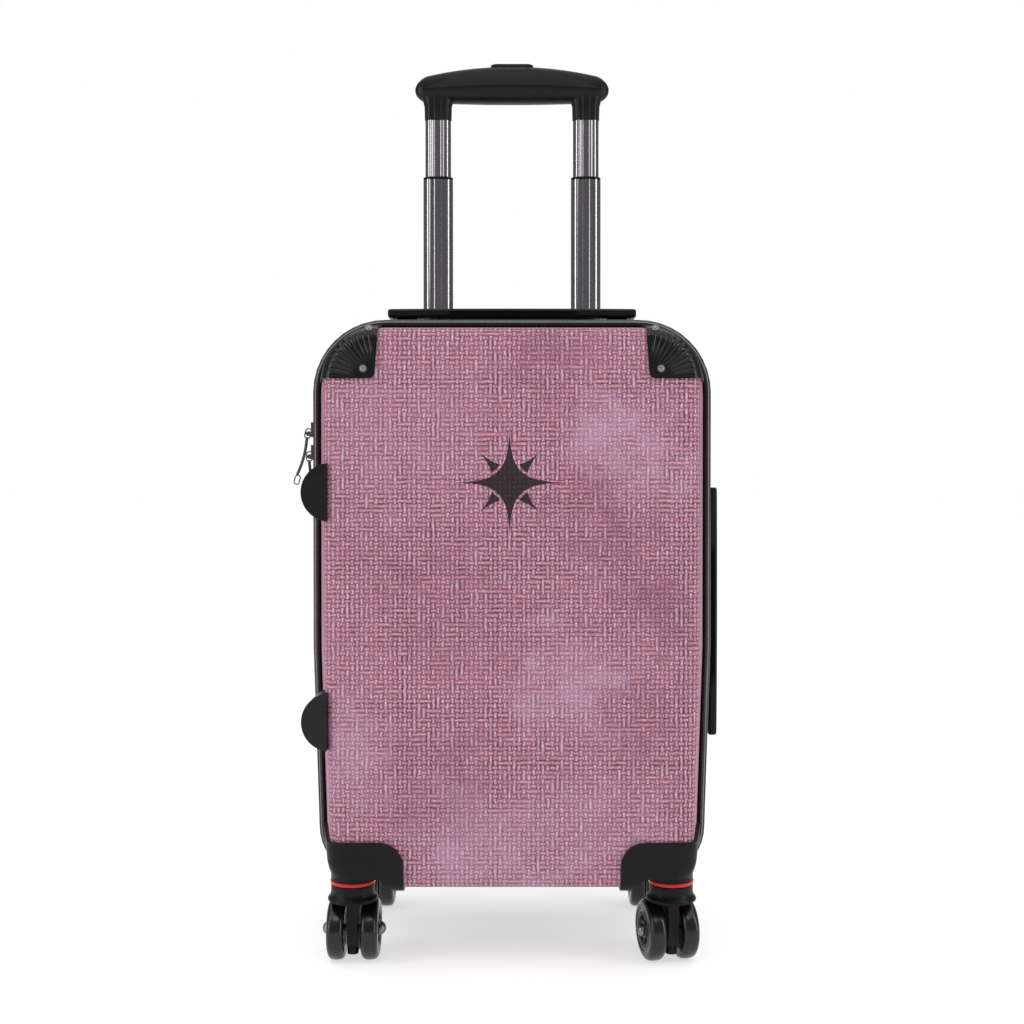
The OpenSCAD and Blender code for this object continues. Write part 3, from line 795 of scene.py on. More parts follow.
@dataclass(frozen=True)
class CaseForm:
    """The tapered, round-cornered form that both halves share, in metres."""

    face_y: float = 115 * MM
    half_width: float = 169 * MM
    top: float = 545 * MM
    bottom: float = 65 * MM
    top_corner: float = 58 * MM
    bottom_corner: float = 40 * MM
    bend: float = 10 * MM
    draft: float = 14 * MM
    top_draft: float = 11 * MM
    bottom_draft: float = 8 * MM
    zip_y: float = -20 * MM
    front_wall: float = 92 * MM
    rear_wall: float = 132 * MM
    waist_z: float = 263 * MM
    waist_in: float = 5 * MM

    def wall(self, half: Half) -> float:
        """Length of a half's wall from its rim to its face."""
        return self.front_wall if half is Half.FRONT else self.rear_wall

    def heart(self, x: float, z: float) -> tuple[float, float]:
        """The point of the inner rectangle that is nearest to a point, from which corners are round."""
        low_hw = self.half_width - self.bottom_corner - self.waist_in
        high_hw = self.half_width - self.top_corner
        low_z = self.bottom + self.bottom_draft + self.bottom_corner - self.draft
        high_z = self.top - self.top_draft - self.top_corner + self.draft
        half = high_hw if z > self.waist_z else low_hw
        return max(-half, min(half, x)), max(low_z, min(high_z, z))

    def outward(self, x: float, z: float) -> Vector:
        """Outward direction of the walls next to a point, in the XZ plane."""
        cx, cz = self.heart(x, z)
        away = Vector((x - cx, 0, z - cz))
        return away.normalized() if away.length > 1e-6 else away

    def unrolled(self, half: Half, at: Vector) -> tuple[float, float]:
        """Map coordinates of a point of the outer skin, with the walls folded out flat.

        Args:
            half: Which half.
            at: The point.

        Returns:
            The two map coordinates, in metres.
        """
        depth = max(0.0, self.face_y - half.value * at.y)
        out = self.outward(at.x, at.z)
        if depth < self.bend:
            turn = math.acos(1 - depth / self.bend)
            extra = self.bend * (turn - math.sin(turn))
        else:
            extra = self.bend * (math.pi / 2 - 1) + (depth - self.bend) * 0.86
        return at.x + out.x * extra, at.z + out.z * extra

    def edge_of_face(self, start: tuple[float, float], way: tuple[float, float], inset: float) -> Vector:
        """Where a ray on the face meets the outline of its flat part.

        Args:
            start: The ray's start in the XZ plane.
            way: Its direction.
            inset: How far the outline lies inside the bend's outer side.

        Returns:
            The point, with the face's Y left at zero.
        """
        near, far = 0.0, 0.4
        for _ in range(40):
            middle = (near + far) / 2
            x, z = start[0] + way[0] * middle, start[1] + way[1] * middle
            if self.inside(x, z, inset):
                near = middle
            else:
                far = middle
        return Vector((start[0] + way[0] * near, 0, start[1] + way[1] * near))

    def inside(self, x: float, z: float, inset: float) -> bool:
        """Whether a point lies within the face's outline, drawn in by an inset."""
        cx, cz = self.heart(x, z)
        radius = (self.top_corner if z > self.waist_z else self.bottom_corner) - self.draft - inset
        return math.hypot(x - cx, z - cz) < radius

    def skin(self, half: Half, base: Vector, out: Vector, arc: float, grow: float) -> Vector:
        """A point of the outer skin, grown outwards, by its distance past the flat face.

        Args:
            half: Which half.
            base: The point where the flat face ends.
            out: The outward direction there.
            arc: The distance past that point, along the bend and then the wall.
            grow: How far the skin is grown.

        Returns:
            The point.
        """
        turn = min(arc / self.bend, math.pi / 2)
        reach = (self.bend + grow) * math.sin(turn)
        depth = self.bend - (self.bend + grow) * math.cos(turn)
        past = max(0.0, arc - self.bend * math.pi / 2)
        depth += past
        share = past / (self.wall(half) - self.bend)
        reach += self.draft * share
        drop = (self.top_draft - self.draft if base.z > self.waist_z else self.draft - self.bottom_draft) * share
        return Vector((base.x + out.x * reach, half.value * (self.face_y - depth), base.z + out.z * reach + drop))


FORM = CaseForm()


def lattice(name: str, columns: int, rows: int, place: Callable[[float, float], Vector], merge: float = 0.01 * MM
            ) -> bpy.types.Object:
    """Adds a grid primitive and lays each of its points by a rule.

    Args:
        name: The new object's name.
        columns: Faces along the first direction.
        rows: Faces along the second direction.
        place: Gives the point for two shares between 0 and 1.
        merge: Points nearer than this become one.

    Returns:
        The object, with its faces pointing outwards.
    """
    deselect()
    bpy.ops.mesh.primitive_grid_add(x_subdivisions=columns, y_subdivisions=rows, size=2)
    piece = bpy.context.object
    piece.name = name
    for point in piece.data.vertices:
        point.co = place((point.co.x + 1) / 2, (point.co.y + 1) / 2)
    take(piece)
    bpy.ops.object.mode_set(mode="EDIT")
    bpy.ops.mesh.select_all(action="SELECT")
    bpy.ops.mesh.remove_doubles(threshold=merge)
    bpy.ops.mesh.normals_make_consistent(inside=False)
    return done(piece)


def turned(name: str, profile: list[tuple[float, float]], sides: int = 64) -> bpy.types.Object:
    """Turns a profile about the Z axis, as on a lathe.

    Args:
        name: The new object's name.
        profile: Points of radius and height, in metres; ends on the axis close it, and else it is a ring.
        sides: The number of steps round.

    Returns:
        The object, standing on the origin's axis.
    """
    deselect()
    bpy.ops.mesh.primitive_grid_add(x_subdivisions=len(profile) - 1, y_subdivisions=1, size=2)
    piece = bpy.context.object
    piece.name = name
    take(piece)
    bpy.ops.object.mode_set(mode="EDIT")
    mesh = bmesh.from_edit_mesh(piece.data)
    mesh.verts.ensure_lookup_table()
    low = sorted((v for v in mesh.verts if v.co.y < 0), key=lambda v: v.co.x)
    for vert in [v for v in mesh.verts if v.co.y > 0]:
        mesh.verts.remove(vert)
    for vert, (radius, height) in zip(low, profile):
        vert.co = (radius, 0, height)
    bmesh.update_edit_mesh(piece.data)
    bpy.ops.mesh.select_all(action="SELECT")
    bpy.ops.mesh.spin(steps=sides, angle=math.tau, center=(0, 0, 0), axis=(0, 0, 1))
    bpy.ops.mesh.select_all(action="SELECT")
    bpy.ops.mesh.remove_doubles(threshold=0.005 * MM)
    bpy.ops.mesh.normals_make_consistent(inside=False)
    return done(piece)


def moved(piece: bpy.types.Object, matrix: Matrix) -> bpy.types.Object:
    """Moves a piece's mesh, and turns it right side out if the move mirrors it."""
    piece.data.transform(matrix)
    if matrix.determinant() < 0:
        piece.data.flip_normals()
    piece.data.update()
    return piece


def another(piece: bpy.types.Object, name: str, matrix: Matrix) -> bpy.types.Object:
    """Copies a piece with its own mesh, and moves the copy."""
    made = bpy.data.objects.new(name, piece.data.copy())
    bpy.context.scene.collection.objects.link(made)
    return moved(made, matrix)


MIRROR_X = Matrix.Scale(-1, 4, (1, 0, 0))
MIRROR_Y = Matrix.Scale(-1, 4, (0, 1, 0))


# ---------------------------------------------------------------- shells, linings and interior


@dataclass
class HardShells(Assembly):
    """The two hard half shells: a printed front and a gloss black rear."""

    def build(self) -> None:
        """Makes both shells."""
        for half, finish, slot in ((Half.FRONT, "woven_print", "printed_shell"),
                                   (Half.REAR, "black_shell", "black_shell")):
            node = f"{half.word}_shell"
            piece = copy_of_node(node, f"{half.word}_hard_shell")
            self.unroll(piece, half)
            smooth(piece, 32)
            self.mount(piece, half.body, slot, finish, node)

    def unroll(self, piece: bpy.types.Object, half: Half) -> None:
        """Gives a shell a map with its walls folded out, so that the print runs over the bend.

        Args:
            piece: The shell.
            half: Which half it is.
        """
        layer = piece.data.uv_layers.new(name="unrolled")
        points = [FORM.unrolled(half, v.co) for v in piece.data.vertices]
        for loop in piece.data.loops:
            layer.data[loop.index].uv = points[loop.vertex_index]


@dataclass
class CornerGuards(Assembly):
    """Four ribbed corner guards at the top of the case, with their rivets."""

    inner_x: float = 108 * MM
    lower_z: float = 492 * MM
    lean: float = 4 * MM
    corner: float = 5 * MM
    thick: float = 2.2 * MM
    back: float = 38 * MM
    ribs: int = 12
    rib_height: float = 0.75 * MM
    border: float = 2.2 * MM

    def build(self) -> None:
        """Makes the guards and rivets of both halves."""
        for half in Half:
            right = self.guard(half)
            left = another(right, "left", MIRROR_X)
            pair = join(f"{half.word}_corner_guards", [right, left])
            smooth(pair, 45)
            self.mount(pair, half.body, "black_plastic", "guard_plastic", f"{half.word}_guards")
            self.rivets(half)

    def guard(self, half: Half) -> bpy.types.Object:
        """Makes the guard on the right of one half.

        Args:
            half: Which half.

        Returns:
            The guard.
        """
        centre = (self.inner_x + self.lean + self.corner, self.lower_z + self.corner)
        flat_end = 0.52

        def place(share: float, out_share: float) -> Vector:
            """Lays one point: share runs round the fan, out_share from its root to its back edge."""
            turn = math.radians(180 + 90 * share)
            root = (centre[0] + self.corner * math.cos(turn), centre[1] + self.corner * math.sin(turn))
            way_angle = math.radians(94.3 * (1 - share))
            way = (math.cos(way_angle), math.sin(way_angle))
            base = FORM.edge_of_face(root, way, FORM.bend)
            out = FORM.outward(base.x, base.z)
            flat = math.hypot(base.x - root[0], base.z - root[1])
            wall = FORM.bend * math.pi / 2 + self.back - FORM.bend
            if out_share <= flat_end:
                along = out_share / flat_end
                at = along * flat
            else:
                at = flat + (out_share - flat_end) / (1 - flat_end) * wall
            grow = self.thick + self.relief(share, at, flat, flat + wall)
            if out_share <= flat_end:
                x = root[0] + (base.x - root[0]) * along
                z = root[1] + (base.z - root[1]) * along
                return Vector((x, half.value * (FORM.face_y + grow), z))
            return FORM.skin(half, base, out, at - flat, grow)

        piece = lattice("right", self.ribs * 8, 56, place)
        modify(piece, "SOLIDIFY", thickness=self.thick - 0.25 * MM, offset=-1, use_even_offset=False)
        return piece

    def relief(self, share: float, at: float, flat: float, whole: float) -> float:
        """Height of the ribs and the border bead over the guard's skin.

        Args:
            share: Place round the fan, from 0 to 1.
            at: Distance from the fan's root.
            flat: Where the flat face ends.
            whole: Where the guard ends.

        Returns:
            The height, in metres.
        """
        wave = 0.5 - 0.5 * math.cos(math.tau * share * self.ribs)
        ridge = max(0.0, wave) ** 1.6
        ease_in = max(0.0, min(1.0, (at - 13 * MM) / (7 * MM)))
        ease_out = max(0.0, min(1.0, (flat + 9 * MM - at) / (4 * MM)))
        side = max(0.0, min(1.0, min(share, 1 - share) * self.ribs - 0.55))
        rib = self.rib_height * ridge * ease_in * ease_out * min(1.0, side * 2)
        bead = max(0.0, 1 - abs(whole - at - self.border) / self.border)
        return rib + 0.5 * MM * bead - 0.25 * MM

    def bend_y(self) -> float:
        """Place in Y of the upper rivet, on the guard's skin over the bend."""
        return -105 * MM - (FORM.bend + self.thick - 0.1 * MM) * math.cos(math.radians(55))

    def bend_z(self) -> float:
        """Height of the upper rivet."""
        return 524 * MM + (FORM.bend + self.thick - 0.1 * MM) * math.sin(math.radians(55))

    def rivets(self, half: Half) -> None:
        """Makes the domed rivets of one half, each with a washer."""
        heads = []
        places = ((121.5 * MM, -117.1 * MM, 500 * MM, 0), (117 * MM, self.bend_y(), self.bend_z(), 55))
        for x, y, z, lean in places:
            head = turned("head", mm(
                (0, 1.5), (1.0, 1.4), (1.9, 1.05), (2.5, 0.5), (2.6, 0.25), (3.2, 0.2), (3.4, -0.6),
                (0, -0.6)), 40)
            lay = Matrix.Translation((x, y, z)) @ Matrix.Rotation(math.radians(90 - lean), 4, "X")
            if half is Half.REAR:
                lay = MIRROR_Y @ lay
            moved(head, lay)
            heads += [head, another(head, "head", MIRROR_X)]
        self.mount(smooth(join(f"{half.word}_guard_rivet_heads", heads), 50, False), half.body, "rivets",
                   "rivet_steel", f"{half.word}_guard_rivets")

def loft(name: str, sections: list[list[Vector]], closed: bool = False) -> bpy.types.Object:
    """Lays a skin over a row of closed sections, and closes its two ends.

    Args:
        name: The new object's name.
        sections: Rings of points, all of the same length.
        closed: Whether the last section joins the first, as on a loop; else the ends get caps.

    Returns:
        The object, with its faces pointing outwards.
    """
    rings = list(sections)
    if closed:
        rings.append(rings[0])
    else:
        rings = [[sum(rings[0], Vector()) / len(rings[0])] * len(rings[0]), *rings,
                 [sum(rings[-1], Vector()) / len(rings[-1])] * len(rings[-1])]
    around, along = len(rings[0]), len(rings) - 1

    def place(u: float, v: float) -> Vector:
        """Looks one point up."""
        return rings[round(v * along)][round(u * around) % around]

    return lattice(name, around, along, place, merge=0.002 * MM)


def rounded_rectangle(width: float, height: float, radius: float, steps: int = 5) -> list[tuple[float, float]]:
    """Points of a rounded rectangle about the origin.

    Args:
        width: Its width.
        height: Its height.
        radius: The radius of its corners.
        steps: Steps in each corner.

    Returns:
        Its points, anticlockwise.
    """
    radius = min(radius, width / 2, height / 2)
    points = []
    for quarter, (sx, sy) in enumerate(((1, 1), (-1, 1), (-1, -1), (1, -1))):
        for step in range(steps + 1):
            turn = math.radians(90 * quarter + 90 * step / steps)
            points.append((sx * (width / 2 - radius) + radius * math.cos(turn),
                           sy * (height / 2 - radius) + radius * math.sin(turn)))
    return points


def wire_ring(centre: Vector, out: Vector, radius: float, sides: int = 8) -> list[Vector]:
    """One round section of a wire that runs in the XZ plane.

    Args:
        centre: The wire's middle.
        out: A direction in the XZ plane, across the wire.
        radius: The wire's radius.
        sides: The number of points.

    Returns:
        The section's points.
    """
    turns = [math.tau * k / sides for k in range(sides)]
    return [centre + out * radius * math.cos(t) + Vector((0, radius * math.sin(t), 0)) for t in turns]


# ---------------------------------------------------------------- rims and zip


@dataclass
class RimsAndZip(Assembly):
    """The two proud rims, the zip tapes between them, and their interlocking teeth."""

    tooth_pitch: float = 2.6 * MM
    proud: float = 5.1 * MM
    tooth_row: float = 1.15 * MM
    piping_r: float = 0.65 * MM
    piping_in: float = 1.5 * MM

    def build(self) -> None:
        """Makes the rims, tapes and teeth of both halves."""
        for half in Half:
            rim = rounded_copy(f"{half.word}_rim", f"{half.word}_rim_moulding", 2.0 * MM, 4, 50)
            self.mount(rim, half.body, "rim_plastic", "rim_plastic", f"{half.word}_rim")
            tape = rounded_copy(f"{half.word}_zip", f"{half.word}_zip_tape", 0.5 * MM, 2, 50)
            self.mount(tape, half.body, "zip_tape", "zip_cloth", f"{half.word}_zip")
            self.teeth(half)
            self.piping(half)

    def path(self) -> list[tuple[Vector, Vector]]:
        """Points along the zip, evenly spaced, each with its outward direction."""
        outline = []
        for half_z, radius, centre_z in ((1, FORM.top_corner, FORM.top - FORM.top_corner),
                                         (-1, FORM.bottom_corner, FORM.bottom + FORM.bottom_corner)):
            inset = 0 if half_z > 0 else FORM.waist_in
            centre_x = FORM.half_width - inset - radius
            turns = range(0, 91, 6) if half_z > 0 else range(-90, 1, 6)
            arc = [Vector((centre_x + (radius + self.proud) * math.cos(math.radians(t)), 0,
                           centre_z + (radius + self.proud) * math.sin(math.radians(t)))) for t in turns]
            outline.append(arc)
        top_right, bottom_right = outline
        loop = [*bottom_right, Vector((FORM.half_width + self.proud, 0, FORM.waist_z)), *top_right]
        loop += [Vector((-p.x, 0, p.z)) for p in reversed(loop)]
        placed = []
        spare = 0.0
        for a, b in zip(loop, loop[1:] + loop[:1]):
            span = (b - a).length
            if span < 1e-6:
                continue
            way = (b - a) / span
            out = Vector((way.z, 0, -way.x))
            while spare < span:
                placed.append((a + way * spare, out))
                spare += self.tooth_pitch
            spare -= span
        return placed

    def piping(self, half: Half) -> None:
        """Makes a thin grey bead let into the outer edge of one rim: a painted highlight for the glossy rim's light
        line.

        Args:
            half: Which half.
        """
        low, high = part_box(f"{half.word}_rim")
        y = low[1] if half is Half.FRONT else high[1]
        points = self.path()[::3]
        sections = []
        for point, out in points:
            middle = point - out * self.piping_in + Vector((0, y, 0))
            sections.append(wire_ring(middle, out, self.piping_r))
        # a grey bead along the rim's outer edge, as a painted highlight line
        bead = loft(f"{half.word}_rim_piping", sections, closed=True)
        self.mount(smooth(bead, 80, False), half.body, "rim_plastic", "piping")

    def teeth(self, half: Half) -> None:
        """Makes one half's teeth, set half a pitch from the other half's.

        Args:
            half: Which half.
        """
        tooth = cube("tooth", (-0.55 * MM, -0.95 * MM, -0.5 * MM), (0.55 * MM, 0.95 * MM, 0.45 * MM))
        modify(tooth, "BEVEL", width=0.25 * MM, segments=1, limit_method="NONE")
        mesh = bmesh.new()
        for point, out in self.path():
            side = Vector((0, half.value, 0))
            along = out.cross(side)
            shift = along * (self.tooth_pitch / 4 * half.value)
            row_y = FORM.zip_y + half.value * self.tooth_row
            matrix = Matrix.Translation(point + shift + Vector((0, row_y, 0))) \
                @ Matrix((along, side, out)).transposed().to_4x4()
            made = tooth.data.copy()
            made.transform(matrix)
            mesh.from_mesh(made)
            bpy.data.meshes.remove(made)
        mesh.to_mesh(tooth.data)
        mesh.free()
        take(tooth)
        bpy.ops.object.mode_set(mode="EDIT")
        bpy.ops.mesh.select_all(action="SELECT")
        bpy.ops.mesh.normals_make_consistent(inside=False)
        done(tooth)
        tooth.name = f"{half.word}_zip_teeth"
        self.mount(smooth(tooth, 30, False), half.body, "zip_tape", "rim_plastic")


# ---------------------------------------------------------------- feet and wheel housings


@dataclass
class FeetAndHousings(Assembly):
    """Side feet, wheel housings, and the red swivel rings."""

    round_edge: float = 1.5 * MM

    def build(self) -> None:
        """Makes the pieces of both halves."""
        for half in Half:
            feet = rounded_copy(f"{half.word}_feet", f"{half.word}_side_feet", 2.2 * MM, 4, 50)
            self.mount(feet, half.body, "black_plastic", "guard_plastic", f"{half.word}_feet")
            housings = rounded_copy(f"{half.word}_wheel_housings", f"{half.word}_wheel_housing_pair",
                                    self.round_edge, 3, 40)
            self.mount(housings, half.body, "black_plastic", "housing_plastic", f"{half.word}_wheel_housings")
            rings = rounded_copy(f"{half.word}_swivel_rings", f"{half.word}_red_rings", 0.5 * MM, 2, 50)
            self.mount(rings, half.body, "red_plastic", "red_gloss", f"{half.word}_swivel_rings")


# ---------------------------------------------------------------- casters


@dataclass
class Casters(Assembly):
    """Four swivelling twin-wheel casters."""

    swivel: tuple[float, float] = (135 * MM, 75 * MM)
    trail: float = 10 * MM
    axle_z: float = 26 * MM
    wheel_in: float = 6.9 * MM
    wheel_w: float = 14.8 * MM
    wheel_r: float = 26 * MM
    hub_r: float = 15 * MM
    turned_by: float = 12.0

    def build(self) -> None:
        """Makes every caster from one set of models."""
        tyre, hub, caps, collar = self.tyre(), self.hub(), self.caps(), self.collar()
        for half in Half:
            for side, word in ((-1, "left"), (1, "right")):
                place = f"{half.word}_{word}"
                turn = self.turned_by if (half, side) == (Half.FRONT, 1) else 0
                stand = Matrix.Translation((side * self.swivel[0], half.value * self.swivel[1], 0)) \
                    @ Matrix.Rotation(math.radians(turn), 4, "Z")
                fork = rounded_copy(f"fork_{place}", f"fork_{place}_body", 0.9 * MM, 3, 40)
                fork = join(f"fork_{place}_body", [fork, another(collar, "collar", stand)])
                self.mount(fork, f"caster_{place}", "black_plastic", "housing_plastic", f"fork_{place}")
                self.mount(another(caps, f"axle_{place}_capped", stand), f"caster_{place}", "steel",
                           "cap_bronze", f"axle_{place}")
                for letter, facing in (("a", -1), ("b", 1)):
                    lay = stand @ Matrix.Translation((facing * self.wheel_in, self.trail, self.axle_z)) \
                        @ Matrix.Rotation(math.radians(90 * facing), 4, "Y")
                    self.mount(another(tyre, f"tyre_{place}_{letter}_tread", lay), f"wheel_{place}_{letter}",
                               "tyre", "tyre_rubber", f"tyre_{place}_{letter}")
                    self.mount(another(hub, f"hub_{place}_{letter}_dish", lay), f"wheel_{place}_{letter}",
                               "hub", "hub_plastic", f"hub_{place}_{letter}")
        for model in (tyre, hub, caps, collar):
            bpy.data.objects.remove(model)

    def tyre(self) -> bpy.types.Object:
        """Turns the tyre's model, with round shoulders and a rim groove on its face."""
        r, w, h = self.wheel_r, self.wheel_w, self.hub_r
        profile = [(h - 0.6 * MM, 0.2 * MM), (h + 3 * MM, 0.15 * MM)]
        for step in range(7):
            turn = math.radians(-90 + 15 * step)
            profile.append((r - 5.2 * MM + 5 * MM * math.cos(turn), 5 * MM + 5 * MM * math.sin(turn)))
        profile.append((r, w / 2))
        for step in range(7):
            turn = math.radians(15 * step)
            profile.append((r - 5.2 * MM + 5 * MM * math.cos(turn), w - 5 * MM + 5 * MM * math.sin(turn)))
        profile += [(h + 3.2 * MM, w), (h + 2.6 * MM, w - 0.7 * MM), (h + 1.8 * MM, w - 0.7 * MM),
                    (h + 1.2 * MM, w - 0.1 * MM), (h - 0.2 * MM, w - 0.2 * MM), (h - 0.6 * MM, w - 0.9 * MM),
                    (h - 0.6 * MM, 0.2 * MM)]
        return smooth(turned("tyre_model", profile, 72), 50, False)

    def hub(self) -> bpy.types.Object:
        """Turns the hub's dished disc, and adds its spokes."""
        h, w = self.hub_r, self.wheel_w
        disc = turned("hub_model", [(3.05 * MM, 0.3 * MM), (h - 0.65 * MM, 0.3 * MM), (h - 0.65 * MM, w - 0.8 * MM),
                                    (h - 1.2 * MM, w - 0.35 * MM), (h - 2.4 * MM, w - 0.4 * MM),
                                    (h - 3.2 * MM, w - 3.2 * MM), (7.6 * MM, w - 3.2 * MM), (7.2 * MM, w - 0.6 * MM),
                                    (6.6 * MM, w - 0.3 * MM), (3.05 * MM, w - 0.3 * MM), (3.05 * MM, 0.3 * MM)], 48)
        spokes = []
        for index in range(6):
            spoke = cube("spoke", (6.8 * MM, -0.9 * MM, w - 3.6 * MM), (h - 2 * MM, 0.9 * MM, w - 1.0 * MM))
            modify(spoke, "BEVEL", width=0.4 * MM, segments=2, limit_method="NONE")
            spokes.append(moved(spoke, Matrix.Rotation(math.tau * index / 6, 4, "Z")))
        return smooth(join("hub_model", [disc, *spokes]), 40, False)

    def caps(self) -> bpy.types.Object:
        """Makes the axle with its two domed caps, each with a cross slot."""
        reach = self.wheel_in + self.wheel_w + 0.6 * MM
        rod = cylinder("axle_model", (0, self.trail, self.axle_z), 2.95 * MM, 2 * reach, (1, 0, 0), 32)
        modify(rod, "BEVEL", width=0.3 * MM, segments=2, limit_method="ANGLE")
        parts = [rod]
        for facing in (-1, 1):
            dome = turned("dome", mm(
                (0, 4.9), (1.6, 4.75), (3.1, 4.1), (4.4, 3.0), (5.2, 1.9), (5.45, 0.8), (5.45, -0.05),
                (0, -0.05)), 40)
            for low, high in (((-2.9, -0.5, 3.6), (2.9, 0.5, 6)), ((-0.5, -2.9, 3.6), (0.5, 2.9, 6))):
                cutter = cube("cutter", [c * MM for c in low], [c * MM for c in high])
                modify(dome, "BOOLEAN", object=cutter, operation="DIFFERENCE", solver="EXACT")
                bpy.data.objects.remove(cutter)
            parts.append(moved(dome, Matrix.Translation((facing * reach, self.trail, self.axle_z))
                               @ Matrix.Rotation(math.radians(90 * facing), 4, "Y")))
        return smooth(join("axle_model", parts), 35, False)

    def collar(self) -> bpy.types.Object:
        """Turns the flared lip round the fork's collar."""
        return smooth(turned("collar_model", mm(
                (17.8, 61.5), (18.55, 61.3), (18.8, 59.8), (19.6, 58.2), (20.8, 56.8), (21.3, 55.6),
                (21.1, 54.6), (20.2, 54.0), (17.8, 53.6), (17.8, 61.5)), 64), 40, False)


# ---------------------------------------------------------------- trolley


@dataclass
class Trolley(Assembly):
    """The telescopic trolley: fluted tubes, collars, arched grip, button and bezel."""

    pitch: float = 142 * MM
    y: float = 85 * MM
    bar_half: float = 93 * MM
    flute: float = 0.9 * MM
    flute_at: float = 0.2
    flute_half: float = 0.095
    socket_w: float = 25.8 * MM
    socket_d: float = 15 * MM
    panel_half: float = 84 * MM
    button_w: float = 41 * MM

    def build(self) -> None:
        """Makes the trolley's pieces from the inside outwards."""
        self.tubes("trolley_middle_tubes", "trolley_middle", "black_tube", "dark_tube", 28.5 * MM, 17 * MM)
        self.tubes("trolley_inner_tubes", "trolley_upper", "black_tube", "dark_tube", 24.6 * MM, 13.2 * MM)
        self.tubes("trolley_outer_tubes", "case_body", "bare_tube", "bare_tube", 32.1 * MM, 20.6 * MM)
        collars = rounded_copy("trolley_collars", "trolley_collar_pair", 0.4 * MM, 2, 50)
        self.mount(collars, "trolley_middle", "black_plastic", "guard_plastic", "trolley_collars")
        bezel = rounded_copy("trolley_bezel", "trolley_bezel_plate", 1.2 * MM, 3, 50)
        self.mount(bezel, "case_body", "black_plastic", "housing_plastic", "trolley_bezel")
        bracket = rounded_copy("trolley_bracket", "trolley_foot_bracket", 1.2 * MM, 3, 50)
        self.mount(bracket, "case_body", "black_plastic", "housing_plastic", "trolley_bracket")
        self.grip()
        button = self.button()
        self.mount(button, "trolley_button", "black_plastic", "guard_plastic", "trolley_button")

    def profile(self, width: float, depth: float) -> list[tuple[float, float]]:
        """Section of a fluted oval tube.

        Args:
            width: Its width.
            depth: Its depth.

        Returns:
            Points round the tube.
        """
        points = []
        steps = 120
        flat = width - depth
        around = 2 * flat + math.pi * depth
        for step in range(steps):
            s = around * step / steps
            if s < flat:
                point, normal = (s - flat / 2, -depth / 2), (0, -1)
            elif s < flat + math.pi * depth / 2:
                turn = (s - flat) / (depth / 2) - math.pi / 2
                point = (flat / 2 + depth / 2 * math.cos(turn), depth / 2 * math.sin(turn))
                normal = (math.cos(turn), math.sin(turn))
            elif s < 2 * flat + math.pi * depth / 2:
                point, normal = (flat / 2 - (s - flat - math.pi * depth / 2), depth / 2), (0, 1)
            else:
                turn = (s - 2 * flat - math.pi * depth / 2) / (depth / 2) + math.pi / 2
                point = (-flat / 2 + depth / 2 * math.cos(turn), depth / 2 * math.sin(turn))
                normal = (math.cos(turn), math.sin(turn))
            dip = 0.0
            for side in (-1, 1):
                off = abs(point[0] - side * self.flute_at * width) / (self.flute_half * width)
                if off < 1 and abs(normal[1]) > 0.5:
                    dip = max(dip, math.sqrt(1 - off * off))
            points.append((point[0] - normal[0] * dip * self.flute, point[1] - normal[1] * dip * self.flute))
        return points

    def tubes(self, node: str, body: str, slot: str, finish: str, width: float, depth: float) -> None:
        """Makes a pair of tubes with open-looking, rounded ends.

        Args:
            node: The CAD node they stand for.
            body: The body they ride on.
            slot: The record's slot.
            finish: Their finish.
            width: Their width.
            depth: Their depth.
        """
        low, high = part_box(node)
        profile = self.profile(width, depth)
        shapes = []
        ends = ((low[2], 0.9), (low[2] + 0.6 * MM, 1.0), (high[2] - 0.6 * MM, 1.0), (high[2], 0.94))
        for side in (-1, 1):
            rings = [[Vector((side * self.pitch / 2 + x * k, self.y + y * k, z)) for x, y in profile]
                     for z, k in ends]
            shapes.append(loft("tube", rings))
        self.mount(smooth(join(f"{node}_fluted", shapes), 30, False), body, slot, finish, node)

    def grip(self) -> None:
        """Makes the arched grip bar, its two fluted sockets and its satin side panels."""
        low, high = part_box("trolley_grip")
        leg_low, base = low[2], low[2] + 14 * MM
        crown = high[2] + 2.4 * MM
        sections = []
        for step in range(61):
            turn = math.radians(-90 + 3 * step)
            x = self.bar_half * math.sin(turn)
            sections.append(self.bar_ring(x, base, crown))
        bar = loft("bar", sections[1:-1])
        parts = [bar]
        for side in (-1, 1):
            rings = []
            for z, grow in ((leg_low, 0.97), (leg_low + 0.5 * MM, 1.0), (base - 1 * MM, 1.02), (base + 3 * MM, 1.10),
                            (base + 8 * MM, 1.2)):
                rings.append([Vector((side * self.pitch / 2 + x * grow, self.y + y * grow, z))
                              for x, y in self.profile(self.socket_w, self.socket_d)])
            parts.append(loft("socket", rings))
        self.mount(smooth(join("trolley_grip_bar", parts), 40, False), "trolley_upper", "soft_grip",
                   "handle_plastic", "trolley_grip")
        self.panels(base, crown)

    def bar_size(self, x: float, base: float, crown: float) -> tuple[float, float, float]:
        """Underside, top and half depth of the grip bar at a place along it."""
        share = abs(x) / self.bar_half
        top = crown - 11.5 * MM * share ** 2.1
        under = base + 1.9 * MM + 2.2 * MM * share ** 2
        ease = math.sqrt(max(0.0, 1 - max(0.0, (abs(x) - 80 * MM) / (13.05 * MM)) ** 2))
        middle = (top + under) / 2
        half = (top - under) / 2 * ease
        return middle - half, middle + half, (9 * MM + 4 * MM * (1 - share ** 2)) * (0.25 + 0.75 * ease)

